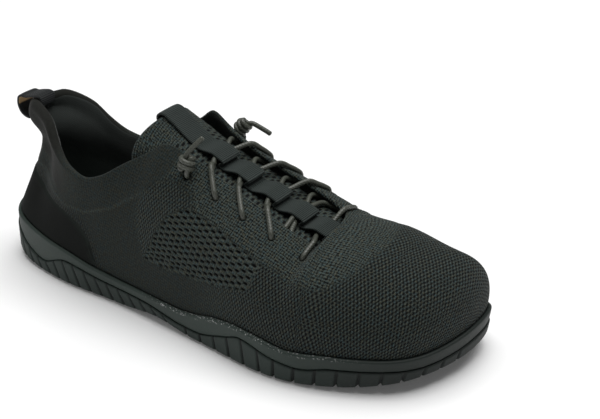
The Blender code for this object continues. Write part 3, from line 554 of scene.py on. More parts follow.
def wall_point(angle, share):
    """Point on the outer face of the knit: share 0 at the lip, 1 at the top edge."""
    a, b, c, d = wall_section(angle)
    t = np.asarray(share, float)[..., None]
    s = 1.0 - t
    curve = s ** 3 * a + 3.0 * s * s * t * b + 3.0 * s * t * t * c + t ** 3 * d
    near = 1.0 - ease(0.0, SWELL_REACH, station_share(angle))
    pad = SWELL * near * np.exp(-((share - SWELL_SHARE) / SWELL_WIDTH) ** 2)
    curve[..., :2] -= lip_inward(angle) * pad[..., None]
    return curve


def wall_normal(angle, share):
    """Outward direction of the knit's outer face."""
    step = 1e-3
    across = wall_point(angle + step, share) - wall_point(angle - step, share)
    upward = wall_point(angle, share) - wall_point(angle, share - step)
    normal = np.cross(across, upward)
    return normal / np.linalg.norm(normal, axis=-1, keepdims=True)


def tongue_row(along):
    """The tongue's other columns at a share of the length."""
    rows = TONGUE[::-1]
    knots = [row.along for row in rows]
    return [smooth_steps(knots, [row[i] for row in rows], along) for i in range(1, len(rows[0]))]


def tongue_point(along, side):
    """Point on the tongue's top face: side runs from -1 at the outer edge to 1 at the inner."""
    z, outer, inner, drop, square, sweep = tongue_row(along)
    across = np.sin(0.5 * np.pi * np.asarray(side, float))
    arch = 1.0 - np.sqrt(np.clip(1.0 - np.abs(across) ** square, 0.0, 1.0))
    x = along * SOLE_LENGTH - sweep * across * across
    half = np.where(across < 0.0, outer, inner)
    return np.stack([x, half * across, z - drop * arch], axis=-1)


def side_angle(side, foot):
    """Outline angle of a foot station on the outer (-1) or the inner (1) side."""
    angle = station_angle(foot)
    return angle if side < 0 else 2.0 * np.pi - angle


def share_from_edge(angle, inset):
    """Wall share at a distance below the knit's edge, measured on the surface."""
    share = np.linspace(1.0, 0.5, 101)
    line = wall_point(np.full_like(share, angle), share)
    length = np.append(0.0, np.cumsum(np.linalg.norm(np.diff(line, axis=0), axis=1)))
    return np.interp(inset, length, share)


def eyelet_place(side, index):
    """Angle and wall share of a lace hole."""
    angle = side_angle(side, EYELET_FEET[index])
    return angle, share_from_edge(angle, EYELET_INSET)


def off_wall(angle, share, distance):
    """Point at a distance outside the knit's outer face."""
    return wall_point(angle, share) + distance * wall_normal(angle, share)


def in_metres(points):
    """Drawn points, from the back of the sole in millimetres, as places in the shoe's frame."""
    return (np.asarray(points) - np.array([MIDDLE, 0.0, 0.0])) * MM


def smooth_path(points, count):
    """Evenly spaced points on a smooth curve through a route's own points."""
    points = np.asarray(points, float)
    steps = np.linalg.norm(np.diff(points, axis=0), axis=1)
    knots = np.append(0.0, np.cumsum(steps))
    slope = np.gradient(points, knots, axis=0)
    dense = np.linspace(0.0, knots[-1], 40 * len(points))
    cell = np.clip(np.searchsorted(knots, dense, side="right") - 1, 0, len(knots) - 2)
    width = steps[cell][:, None]
    part = ((dense - knots[cell]) / steps[cell])[:, None]
    line = points[cell] + (points[cell + 1] - points[cell]) * ease(0.0, 1.0, part)
    line += width * slope[cell] * part * (1.0 - part) ** 2
    line -= width * slope[cell + 1] * part * part * (1.0 - part)
    length = np.append(0.0, np.cumsum(np.linalg.norm(np.diff(line, axis=0), axis=1)))
    even = np.linspace(0.0, length[-1], count)
    return np.stack([np.interp(even, length, line[:, axis]) for axis in range(3)], axis=-1)


def throat_angle(side, x):
    """Outline angle whose section ends on the throat's edge at a place along the shoe."""
    feet = np.linspace(OUTER_THROAT[-1].foot, RIDGE[-1].foot, 200)
    angle = np.array([side_angle(side, foot) for foot in feet])
    return np.interp(x, edge_point(angle)[:, 0], angle)


def closed(grid):
    """Grid with its first column again as its last."""
    return np.concatenate([grid, grid[:, :1]], axis=1)


def grid_faces(rows, cols, wrap=False):
    """Corner numbers of the quads of a grid, rows upward; wrap joins the last row to the first."""
    number = np.arange(rows * cols).reshape(rows, cols)
    if wrap:
        number = np.vstack([number, number[:1]])
    corners = (number[:-1, :-1], number[:-1, 1:], number[1:, 1:], number[1:, :-1])
    return np.stack(corners, axis=-1).reshape(-1, 4)


def make_piece(name, points, faces, cloth=None, values=None, parts=None, outward=False, sharp=None):
    """Mesh object from points in millimetres, quads, cloth coordinates in metres and point values."""
    mesh = bpy.data.meshes.new(name)
    mesh.from_pydata(in_metres(points).reshape(-1, 3).tolist(), [], faces.tolist())
    if cloth is not None:
        layer = mesh.uv_layers.new(name="cloth")
        layer.data.foreach_set("uv", (cloth.reshape(-1, 2)[faces.ravel()] * MM).ravel())
    for key, value in (values or {}).items():
        layer = mesh.attributes.new(key, "FLOAT", "POINT")
        layer.data.foreach_set("value", np.asarray(value, float).ravel())
    if parts is not None:
        mesh.polygons.foreach_set("material_index", parts.astype(np.int32))
    bm = bmesh.new()
    bm.from_mesh(mesh)
    bmesh.ops.remove_doubles(bm, verts=bm.verts, dist=2e-6)
    bmesh.ops.dissolve_degenerate(bm, edges=bm.edges, dist=1e-7)
    if outward:
        bmesh.ops.recalc_face_normals(bm, faces=bm.faces)
    bm.to_mesh(mesh)
    bm.free()
    mesh.shade_smooth()
    if sharp is not None:
        mesh.set_sharp_from_angle(angle=np.radians(sharp))
    made = bpy.data.objects.new(name, mesh)
    bpy.context.scene.collection.objects.link(made)
    return made


def dress(made, slot, replaced, *materials):
    """Give a piece its materials, hang it on the root body and hide the solids that it stands for; slot is
    not used.
    """
    for material in materials:
        made.data.materials.append(material)
    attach(made, "root")
    if replaced:
        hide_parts(*replaced)


def thicken(made, thickness, offset, inner=0):
    """Wall of a sheet, with its own material on the inner face."""
    wall = made.modifiers.new("wall", "SOLIDIFY")
    wall.thickness = thickness * MM
    wall.offset = offset
    wall.use_even_offset = True
    wall.material_offset = inner
    wall.material_offset_rim = 0


def run_length(points, axis=0):
    """Distance walked along an axis of a grid of points, from its first line."""
    steps = np.linalg.norm(np.diff(points, axis=axis), axis=-1)
    first = np.zeros_like(np.take(steps, [0], axis=axis))
    return np.concatenate([first, np.cumsum(steps, axis=axis)], axis=axis)


def lip_lengths():
    """Closely spaced outline angles of the outer half, and the length along the lip to each."""
    angle = np.linspace(0.0, np.pi, 4001)
    return angle, run_length(lip_line(angle))


def nearest(points, line):
    """Distance of each point to the nearest of a line's closely spaced points."""
    flat = points.reshape(-1, 1, 3)
    best = np.full(len(flat), np.inf)
    for part in np.array_split(line, max(1, len(line) // 40)):
        best = np.minimum(best, np.linalg.norm(flat - part[None], axis=-1).min(axis=1))
    return best.reshape(points.shape[:-1])


def inside_polygon(x, z, corners):
    """Signed distance to a polygon's outline in the side view, positive inside it."""
    corners = np.asarray(corners, float)
    best = np.full(x.shape, np.inf)
    inside = np.zeros(x.shape, bool)
    for (ax, az), (bx, bz) in zip(corners, np.roll(corners, -1, axis=0)):
        wide, high = bx - ax, bz - az
        along = np.clip(((x - ax) * wide + (z - az) * high) / (wide ** 2 + high ** 2), 0.0, 1.0)
        best = np.minimum(best, np.hypot(x - ax - along * wide, z - az - along * high))
        crosses = (az > z) != (bz > z)
        inside ^= crosses & (x < wide * (z - az) / (high + 1e-12) + ax)
    return np.where(inside, best, -best)


# A direction that no cord starts along, and the sides of a cord
FIRST_ASIDE = (0.31, 0.17, 0.93)
CORD_SIDES = 14
# Domed end of a cord from its tip: shares of the dome's height and of the cord's radius, and that height
# as a share of the diameter
DOME_SHARE = np.array([0.98, 0.8, 0.45])
DOME_RADIUS = np.array([0.0, 0.62, 0.9])
DOME_HEIGHT = 0.35


def tube_grid(path, radius):
    """Rings round a path: each stands square to it and is turned as little as can be from the last."""
    ahead = np.gradient(path, axis=0)
    ahead /= np.linalg.norm(ahead, axis=1, keepdims=True)
    aside = np.cross(ahead[0], FIRST_ASIDE)
    frames = []
    for heading in ahead:
        aside = aside - heading * np.dot(aside, heading)
        aside = aside / np.linalg.norm(aside)
        frames.append(aside)
    aside = np.array(frames)[:, None]
    other = np.cross(ahead, frames)[:, None]
    turn = np.linspace(0.0, 2.0 * np.pi, CORD_SIDES + 1)[None, :, None]
    return path[:, None] + radius[:, None, None] * (np.cos(turn) * aside + np.sin(turn) * other)


def cord_piece(name, path, diameter):
    """Round cord with domed ends; cloth coordinates run along it and once round it."""
    out = np.stack([path[0] - path[1], path[-1] - path[-2]])
    out *= DOME_HEIGHT * diameter / np.linalg.norm(out, axis=1, keepdims=True)
    front = path[0] + np.outer(DOME_SHARE, out[0])
    back = path[-1] + np.outer(DOME_SHARE[::-1], out[1])
    line = np.vstack([front, path, back])
    radius = 0.5 * diameter * np.concatenate([DOME_RADIUS, np.ones(len(path)), DOME_RADIUS[::-1]])
    grid = tube_grid(line, radius)
    around = np.linspace(0.0, np.pi * diameter, CORD_SIDES + 1)
    cloth = np.stack(np.broadcast_arrays(run_length(line[:, None]), around[None]), axis=-1)
    faces = grid_faces(*grid.shape[:2])
    return make_piece(name, grid, faces, cloth, outward=True)


def add(tree, kind, inputs=None, **settings):
    """Add a shader node with its settings, and link or fill its inputs."""
    made = tree.nodes.new(kind)
    for key, value in settings.items():
        setattr(made, key, value)
    for key, value in (inputs or {}).items():
        if isinstance(value, bpy.types.NodeSocket):
            tree.links.new(value, made.inputs[key])
        else:
            made.inputs[key].default_value = value
    return made


# Typical of polyester, cotton and rubber, and the spread of a cloth's sheen
POLYMER_IOR = 1.5
SHEEN_ROUGHNESS = 0.45
# Bends per metre of the yarns, which never lie quite straight
YARN_BENDS = 220.0


def begin(name, roughness, sheen=0.0, gloss=0.15):
    """New material on the principled shader, with its even values on the shader's own sockets."""
    material = bpy.data.materials.new(name)
    material.use_nodes = True
    tree = material.node_tree
    shader = tree.nodes["Principled BSDF"]
    shader.inputs["Roughness"].default_value = roughness
    shader.inputs["IOR"].default_value = POLYMER_IOR
    shader.inputs["Specular IOR Level"].default_value = gloss
    shader.inputs["Sheen Weight"].default_value = sheen
    shader.inputs["Sheen Roughness"].default_value = SHEEN_ROUGHNESS
    return material, tree, shader


def tinted(colour, factor):
    """A colour with its parts multiplied by a factor, or by one each, and full alpha."""
    return (*(np.array(colour) * factor), 1.0)


def lattice(tree, across, up, pitch_across, pitch_up):
    """Staggered dots: two cosines multiplied, 1 at a dot's middle and -1 between four dots."""
    turn = 2.0 * np.pi
    first = add(tree, "ShaderNodeMath", {0: across, 1: turn / pitch_across}, operation="MULTIPLY")
    second = add(tree, "ShaderNodeMath", {0: up, 1: turn / pitch_up}, operation="MULTIPLY")
    wave = add(tree, "ShaderNodeMath", {0: first.outputs[0]}, operation="COSINE")
    other = add(tree, "ShaderNodeMath", {0: second.outputs[0]}, operation="COSINE")
    both = add(tree, "ShaderNodeMath", {0: wave.outputs[0], 1: other.outputs[0]}, operation="MULTIPLY")
    return both.outputs[0]


def cloth_place(tree, wander):
    """Cloth coordinates with a slight wander in metres."""
    place = add(tree, "ShaderNodeUVMap", uv_map="cloth").outputs[0]
    noise = add(tree, "ShaderNodeTexNoise", {"Vector": place, "Scale": YARN_BENDS, "Detail": 1.0})
    inputs = {0: noise.outputs["Color"], 1: (0.5, 0.5, 0.5)}
    shift = add(tree, "ShaderNodeVectorMath", inputs, operation="SUBTRACT").outputs[0]
    small = add(tree, "ShaderNodeVectorMath", {0: shift, 3: wander}, operation="SCALE").outputs[0]
    moved = add(tree, "ShaderNodeVectorMath", {0: place, 1: small}, operation="ADD").outputs[0]
    split = add(tree, "ShaderNodeSeparateXYZ", {0: moved})
    return split.outputs["X"], split.outputs["Y"]


def patches(tree, colour, share, scale):
    """A colour that varies by a share of itself in soft patches of about 1/scale metres."""
    coords = add(tree, "ShaderNodeTexCoord")
    inputs = {"Vector": coords.outputs["Object"], "Scale": scale, "Detail": 4.0}
    noise = add(tree, "ShaderNodeTexNoise", inputs).outputs[0]
    ramp = add(tree, "ShaderNodeMapRange", {0: noise, 1: 0.3, 2: 0.7}).outputs[0]
    inputs = {"Fac": ramp, "Color1": tinted(colour, 1.0 - share), "Color2": tinted(colour, 1.0 + share)}
    return add(tree, "ShaderNodeMixRGB", inputs).outputs[0]


def fibres(tree, scale):
    """Fine noise of loose fibres or moulding grit, 0 to 1."""
    coords = add(tree, "ShaderNodeTexCoord")
    inputs = {"Vector": coords.outputs["Object"], "Scale": scale, "Detail": 3.0, "Roughness": 0.65}
    return add(tree, "ShaderNodeTexNoise", inputs).outputs[0]


def finish_material(tree, shader, colour, height, depth, strength):
    """Link the colour and the bump, whose full height is a depth in metres."""
    bump = add(tree, "ShaderNodeBump", {"Height": height, "Distance": depth, "Strength": strength})
    tree.links.new(colour, shader.inputs["Base Color"])
    tree.links.new(bump.outputs[0], shader.inputs["Normal"])


def stretched(tree, across, up, counts):
    """Noise drawn out along the yarns: cells per metre along and across the flat pattern, 0 to 1."""
    wide = add(tree, "ShaderNodeMath", {0: across, 1: counts[0]}, operation="MULTIPLY")
    high = add(tree, "ShaderNodeMath", {0: up, 1: counts[1]}, operation="MULTIPLY")
    place = add(tree, "ShaderNodeCombineXYZ", {0: wide.outputs[0], 1: high.outputs[0]})
    noise = add(tree, "ShaderNodeTexNoise", {"Vector": place.outputs[0], "Scale": 1.0, "Detail": 1.0})
    return add(tree, "ShaderNodeMapRange", {0: noise.outputs[0], 1: 0.28, 2: 0.72}).outputs[0]


def times(tree, colour, factor):
    """A colour multiplied by a factor."""
    inputs = {"Fac": 1.0, "Color1": colour, "Color2": factor}
    return add(tree, "ShaderNodeMixRGB", inputs, blend_type="MULTIPLY").outputs[0]


# Kinds of knit, each a share at the points of a knitted piece
ZONES = ("pin", "panel", "plain", "brushed", "dim", "eyelet")
# Holes stand in staggered rows: spacing of two rows over the spacing along a row, then the heights of the
# dots' wave between which a hole opens
PIN_ROWS = 1.85
PIN_EDGES = (-0.6, 0.8)
MESH_ROWS = 0.47
MESH_EDGES = (-0.12, 0.72)
# Yarns of 0.4 mm are too fine for the picture, so the threads are drawn this far apart, in metres; a
# pitch of a metre hardly shows. Slubs on them have so many cells per metre along and across
THREADS = (0.0014, 0.0016)
NO_PITCH = 1.0
SLUBS = (620.0, 2100.0)
# A few warm and cool filaments lie among the charcoal ones: factors of red, green and blue
WARM = (1.25, 1.0, 0.78)
COOL = (0.76, 1.0, 1.22)
# Shade of the fine knit on the quarter and the collar, partly a darker yarn and partly painted shade
DIM_SHADE = 0.46
# Fibres per metre in the colour and in the relief
FILAMENTS = 800.0
FUZZ = 1500.0


def knit_holes(tree, zone, across, up, sizes):
    """Share of hole at a place: pinholes by the attribute pin, open mesh by the attribute panel."""
    mesh = (sizes.mesh_pitch, MESH_ROWS, MESH_EDGES)
    kinds = {"pin": (sizes.pin_pitch, PIN_ROWS, PIN_EDGES), "panel": mesh}
    shown = []
    for key, (pitch, rows, edges) in kinds.items():
        dots = lattice(tree, across, up, pitch, rows * pitch)
        inputs = {0: dots, 1: edges[0], 2: edges[1]}
        hole = add(tree, "ShaderNodeMapRange", inputs, interpolation_type="SMOOTHSTEP").outputs[0]
        shown.append(add(tree, "ShaderNodeMath", {0: hole, 1: zone[key]}, operation="MULTIPLY").outputs[0])
    return add(tree, "ShaderNodeMath", {0: shown[0], 1: shown[1]}, operation="MAXIMUM").outputs[0]


def knit_threads(tree, across, up):
    """Crossing threads with slubs along both, about 0.4 between threads and 1.6 on them."""
    warp = lattice(tree, across, up, THREADS[0], NO_PITCH)
    weft = lattice(tree, across, up, NO_PITCH, THREADS[1])
    threads = add(tree, "ShaderNodeMath", {0: warp, 1: weft}, operation="ADD").outputs[0]
    inputs = {0: stretched(tree, across, up, SLUBS), 1: stretched(tree, across, up, SLUBS[::-1])}
    slubs = add(tree, "ShaderNodeMath", inputs, operation="ADD").outputs[0]
    inputs = {0: threads, 1: 0.30, 2: slubs}
    return add(tree, "ShaderNodeMath", inputs, operation="MULTIPLY_ADD").outputs[0]


def knit_material(name, colours, sizes):
    """Engineered polyester knit: matt yarn, pinholes over the toes, open mesh in the side panel,
    close linen-like knit round the throat and a fine smooth knit elsewhere."""
    material, tree, shader = begin(name, roughness=0.88, sheen=0.05)
    across, up = cloth_place(tree, wander=0.0005)
    zone = {key: add(tree, "ShaderNodeAttribute", attribute_name=key).outputs["Fac"] for key in ZONES}
    holes = knit_holes(tree, zone, across, up, sizes)
    linen = knit_threads(tree, across, up)
    # Threads show strongly in the close knit and faintly elsewhere
    strong = add(tree, "ShaderNodeMapRange", {0: linen, 1: 0.5, 2: 1.5, 3: 0.05, 4: 1.55}).outputs[0]
    faint = add(tree, "ShaderNodeMapRange", {0: linen, 1: 0.4, 2: 1.6, 3: 0.50, 4: 1.50}).outputs[0]
    inputs = {"Fac": zone["plain"], "Color1": faint, "Color2": strong}
    weave = add(tree, "ShaderNodeMixRGB", inputs).outputs[0]
    grit = add(tree, "ShaderNodeMapRange", {0: fibres(tree, FILAMENTS), 1: 0.35, 2: 0.65}).outputs[0]
    inputs = {"Fac": grit, "Color1": tinted(colours.knit, WARM), "Color2": tinted(colours.knit, COOL)}
    yarn = add(tree, "ShaderNodeMixRGB", inputs).outputs[0]
    # Painted shade, partly a darker yarn: the knit is darkened on the quarter and collar by the attribute
    # dim
    shade = add(tree, "ShaderNodeMapRange", {0: zone["dim"], 3: 1.0, 4: DIM_SHADE}).outputs[0]
    dimmed = times(tree, times(tree, yarn, weave), shade)
    nap = patches(tree, colours.brushed, share=0.16, scale=420.0)
    inputs = {"Fac": zone["brushed"], "Color1": dimmed, "Color2": nap}
    napped = add(tree, "ShaderNodeMixRGB", inputs).outputs[0]
    # Painted shade inside the knit's holes and the lace holes
    dark = add(tree, "ShaderNodeMath", {0: holes, 1: zone["eyelet"]}, operation="MAXIMUM").outputs[0]
    inputs = {"Fac": dark, "Color1": napped, "Color2": tinted(colours.hole, 1.0)}
    colour = add(tree, "ShaderNodeMixRGB", inputs).outputs[0]
    # Relief: threads of the close knit, loose fibres all over, and sunk holes
    close = add(tree, "ShaderNodeMath", {0: linen, 1: zone["plain"]}, operation="MULTIPLY").outputs[0]
    base = add(tree, "ShaderNodeMath", {0: close, 1: 0.30, 2: 0.5}, operation="MULTIPLY_ADD").outputs[0]
    inputs = {0: fibres(tree, FUZZ), 1: 0.25, 2: base}
    grain = add(tree, "ShaderNodeMath", inputs, operation="MULTIPLY_ADD").outputs[0]
    height = add(tree, "ShaderNodeMath", {0: holes, 1: -0.9, 2: grain}, operation="MULTIPLY_ADD").outputs[0]
    finish_material(tree, shader, colour, height, depth=0.0007, strength=0.85)
    return material


# Cloths, drawn with threads coarse enough to show: their spacing in metres, roughness, sheen, contrast of
# the threads, and depth in metres
Cloth = namedtuple("Cloth", "pitch roughness sheen contrast depth")
LINING = Cloth(0.0012, 0.9, 0.1, 0.10, 0.00015)
FOOTBED = Cloth(0.0014, 0.9, 0.1, 0.15, 0.0002)
SEWING = Cloth(0.0006, 0.6, 0.2, 0.2, 0.0001)
TWILL = Cloth(0.0010, 0.8, 0.2, 0.18, 0.0002)
FLOCK = Cloth(0.0012, 0.85, 0.0, 0.10, 0.00012)
LOOSE_FIBRES = 1400.0


def cloth_material(name, colour, cloth, low=None):
    """Plain woven or napped cloth: crossing threads of one pitch under loose fibres, changing to a
    second colour by the attribute low."""
    material, tree, shader = begin(name, cloth.roughness, cloth.sheen)
    across, up = cloth_place(tree, wander=0.0003)
    threads = lattice(tree, across, up, cloth.pitch, cloth.pitch)
    inputs = {0: threads, 1: -1.0, 2: 1.0, 3: 1.0 + cloth.contrast, 4: 1.0 - cloth.contrast}
    tone = add(tree, "ShaderNodeMapRange", inputs).outputs[0]
    base = patches(tree, colour, share=0.12, scale=60.0)
    if low is not None:
        share = add(tree, "ShaderNodeAttribute", attribute_name="low").outputs["Fac"]
        inputs = {"Fac": share, "Color1": base, "Color2": tinted(low, 1.0)}
        base = add(tree, "ShaderNodeMixRGB", inputs).outputs[0]
    inputs = {0: threads, 1: -0.3, 2: fibres(tree, LOOSE_FIBRES)}
    height = add(tree, "ShaderNodeMath", inputs, operation="MULTIPLY_ADD").outputs[0]
    finish_material(tree, shader, times(tree, base, tone), height, cloth.depth, strength=0.7)
    return material


# Rubber: grit of the mould and specks of cement per metre, the noise between which a speck starts and is
# full, the cement's own paleness and its share of the rubber's colour, the tone of the painted shade in the
# grooves, which also stands for their dust, and at the toe, and how far the grit changes the roughness
MOULD_GRIT = 900.0
SPECKS = 1000.0
SPECK_EDGES = (0.59, 0.66)
CEMENT_PALE = 0.35
CEMENT_TINT = 0.4
SHADE_AND_DUST = 0.22
ROUGHNESS_SPREAD = (-0.06, 0.10)


def rubber_material(name, colour, roughness):
    """Moulded rubber: satin skin with a fine mould grain, pale specks of cement by the attribute worn
    and painted shade by the attribute sunk, in the grooves with some dust and at the toe."""
    material, tree, shader = begin(name, roughness, gloss=0.28)
    grit = fibres(tree, MOULD_GRIT)
    worn = add(tree, "ShaderNodeAttribute", attribute_name="worn").outputs["Fac"]
    sunk = add(tree, "ShaderNodeAttribute", attribute_name="sunk").outputs["Fac"]
    coords = add(tree, "ShaderNodeTexCoord")
    inputs = {"Vector": coords.outputs["Object"], "Scale": SPECKS, "Detail": 2.0}
    spots = add(tree, "ShaderNodeTexNoise", inputs).outputs[0]
    speck = add(tree, "ShaderNodeMapRange", {0: spots, 1: SPECK_EDGES[0], 2: SPECK_EDGES[1]}).outputs[0]
    glue = add(tree, "ShaderNodeMath", {0: speck, 1: worn}, operation="MULTIPLY").outputs[0]
    pale = tuple(CEMENT_PALE + CEMENT_TINT * c for c in colour) + (1.0,)
    skin = patches(tree, colour, share=0.10, scale=45.0)
    inputs = {"Fac": glue, "Color1": skin, "Color2": pale}
    marked = add(tree, "ShaderNodeMixRGB", inputs).outputs[0]
    # Painted shade where the attribute sunk is set, with some dust in the grooves
    inputs = {"Fac": sunk, "Color1": marked, "Color2": tinted(colour, SHADE_AND_DUST)}
    shaded = add(tree, "ShaderNodeMixRGB", inputs).outputs[0]
    inputs = {0: grit, 3: roughness + ROUGHNESS_SPREAD[0], 4: roughness + ROUGHNESS_SPREAD[1]}
    tree.links.new(add(tree, "ShaderNodeMapRange", inputs).outputs[0], shader.inputs["Roughness"])
    finish_material(tree, shader, shaded, grit, depth=0.00012, strength=0.5)
    return material


# Warp of the tape, drawn coarser than its 0.3 mm yarn, and the braid's diamonds: length in metres and
# count round the lace
TAPE_WARP = 0.0008
DIAMOND_LENGTH = 0.0017
DIAMONDS_ROUND = 5


def tape_material(name, colour, pitch):
    """Grosgrain tape: raised weft ribs across its width, with a slight sheen on the filament yarn."""
    material, tree, shader = begin(name, roughness=0.62, sheen=0.06, gloss=0.3)
    along, across = cloth_place(tree, wander=0.00008)
    turn = add(tree, "ShaderNodeMath", {0: along, 1: 2.0 * np.pi / pitch}, operation="MULTIPLY").outputs[0]
    rib = add(tree, "ShaderNodeMath", {0: turn}, operation="SINE").outputs[0]
    warp = lattice(tree, along, across, pitch, TAPE_WARP)
    mixed = add(tree, "ShaderNodeMath", {0: warp, 1: 0.25, 2: rib}, operation="MULTIPLY_ADD").outputs[0]
    tone = add(tree, "ShaderNodeMapRange", {0: mixed, 1: -1.0, 2: 1.0, 3: 0.42, 4: 1.32}).outputs[0]
    shown = times(tree, patches(tree, colour, share=0.10, scale=70.0), tone)
    inputs = {0: fibres(tree, FUZZ), 1: 0.3, 2: mixed}
    height = add(tree, "ShaderNodeMath", inputs, operation="MULTIPLY_ADD").outputs[0]
    finish_material(tree, shader, shown, height, depth=0.0002, strength=0.8)
    return material


def braid_material(name, colour, diameter):
    """Round braided lace: small diamonds of yarn that cross round the cord, with a soft sheen."""
    material, tree, shader = begin(name, roughness=0.42, gloss=0.5)
    along, around = cloth_place(tree, wander=0.00005)
    braid = lattice(tree, along, around, DIAMOND_LENGTH, np.pi * diameter / DIAMONDS_ROUND)
    tone = add(tree, "ShaderNodeMapRange", {0: braid, 1: -1.0, 2: 1.0, 3: 0.72, 4: 1.12}).outputs[0]
    shown = times(tree, patches(tree, colour, share=0.10, scale=90.0), tone)
    inputs = {0: fibres(tree, scale=1700.0), 1: 0.2, 2: braid}
    height = add(tree, "ShaderNodeMath", inputs, operation="MULTIPLY_ADD").outputs[0]
    finish_material(tree, shader, shown, height, depth=0.0001, strength=0.5)
    return material


# Side panel of open mesh, the half-open knit behind it and the smooth collar, in the side view: x and z
PANEL = [(117, 37.5), (121.5, 36.5), (157, 38.5), (190, 44.5), (194.5, 57.5), (167.5, 67.5),
         (145.5, 73.5), (134.5, 68), (125.5, 54)]
PANEL_TOP = [(113, 52.5), (112.5, 66.5), (120, 79), (131.5, 85.5), (145, 79.5), (146.5, 74),
             (134.5, 68), (125.5, 54), (117, 38)]
COLLAR = [(131, 88), (117, 75.5), (93.5, 59.5), (74, 51.5), (57, 50), (30, 58), (0, 60), (0, 120),
          (140, 120)]
# Grid of the upper: spacing of its columns in and out of the dense stretch, and rows of its faces
DENSE_X = (118.0, 217.0)
DENSE_BLEND = 8.0
DENSE_STEP = 0.62
OPEN_STEP = 2.3
LOW_PART = 0.24
OUTER_ROWS = (14, 96)
INNER_ROWS = 22
ROLL_ROWS = 7
# Distances over which each kind of knit changes to the next at its border
PANEL_BLEND = (-0.6, 0.6)
HALF_BLEND = (-3.0, 2.0)
COLLAR_BLEND = (-2.0, 2.0)
PLAIN_BLEND = (-1.5, 1.5)
# Width of the close knit beside the throat and in front of it, and where it changes
PLAIN_BAND = (24.0, 29.0)
PLAIN_CHANGE = (200.0, 230.0)
# Where the pinholes start towards the toes, and their strength in the half-open knit
TOE_KNIT = (150.0, 188.0)
HALF_OPEN = 0.9
# Reach and strength of the small stitches round the heel panel
HEEL_STITCHES = 4.5
HEEL_STRENGTH = 0.55
# The brushed cloth fades out over this stretch of the length, and starts over this share of the wall
BRUSHED_X = (44.0, 74.0)
BRUSHED_SHARE = (0.50, 0.62)
# Relief of the borders, height and half width: ridge at the collar, dip round the close knit, panel's rim
Border = namedtuple("Border", "height width")
COLLAR_RIDGE = Border(0.30, 3.0)
PLAIN_DIP = Border(0.25, 2.0)
PANEL_RIM = Border(0.35, 1.6)
PANEL_RIM_OUT = 1.2
# Holes of the mesh sink between these heights of the dots' wave
MESH_SINK = (-0.3, 0.9)
# Lace holes: edge of the painted shade inside, their rim and its radius, and their depth and where it ends
HOLE_DARK = (1.2, 2.3)
HOLE_RIM = Border(0.25, 0.9)
HOLE_RIM_RADIUS = 3.2
HOLE_DEPTH = 2.0
HOLE_WALL = (0.9, 2.2)
# Over the toes the wall's own direction fails at the ridge: the last share that gives it, and the shares
# over which both sides take one direction
POLE_SHARE = 0.985
POLE_BLEND = (0.90, 1.0)
# Shares of the wall over which the relief fades in at the lip and out at the rolled edge
RELIEF_IN = (0.0, 0.05)
RELIEF_OUT = (0.97, 1.0)
# Shares of the lining's way down over which it takes the footbed's colour: painted light deep inside
LINING_LOW = (0.25, 0.75)
# Rows and half the columns of the coarse grid that is laid flat
PATTERN_ROWS = 15
PATTERN_COLUMNS = 48
# Rounds that even out the flat pattern, and the least and largest cotangent that they use
PATTERN_ROUNDS = 40
COTANGENTS = (0.02, 20.0)


def upper_angles():
    """Outline angles of the upper's columns: close together where the mesh and lace holes are."""
    dense, length = lip_lengths()
    x = SOLE_LENGTH * station_share(dense)
    start, end = DENSE_X
    near = ease(start - DENSE_BLEND, start, x) * (1.0 - ease(end, end + DENSE_BLEND, x))
    density = near / DENSE_STEP + (1.0 - near) / OPEN_STEP
    count = np.append(0.0, np.cumsum(0.5 * (density[1:] + density[:-1]) * np.diff(length)))
    half = np.interp(np.linspace(0.0, count[-1], int(count[-1]) + 1), count, dense)
    corner = station_angle(RIDGE[-1].foot)
    half[np.argmin(np.abs(half - corner))] = corner
    return half_and_mirror(half)


def wall_thickness(angle, share):
    """Wall of the upper: plain knit, growing to the collar's pad towards the heel's top."""
    heel = np.clip(1.0 - station_share(angle) / PAD_REACH, 0.0, 1.0)
    plump = heel * np.clip((share - PAD_START) / PAD_RISE, 0.0, 1.0)
    return KNIT_WALL + (COLLAR_PAD - KNIT_WALL) * plump


def throat_line():
    """Closely spaced points of the throat's edge, on both sides."""
    half = np.linspace(station_angle(OUTER_THROAT[-1].foot), station_angle(RIDGE[-1].foot), 90)
    return edge_point(np.concatenate([half, 2.0 * np.pi - half]))


def counter_line():
    """Closely spaced points of the heel panel's top and front edges."""
    reach = station_angle(COUNTER[-1].foot)
    angle = np.linspace(-reach, reach, 160)
    return wall_point(angle, even_column(COUNTER, "share", angle))


def swell(border, away):
    """Rounded ridge of a border at distances from its middle."""
    return border.height * np.exp(-(away / border.width) ** 2)


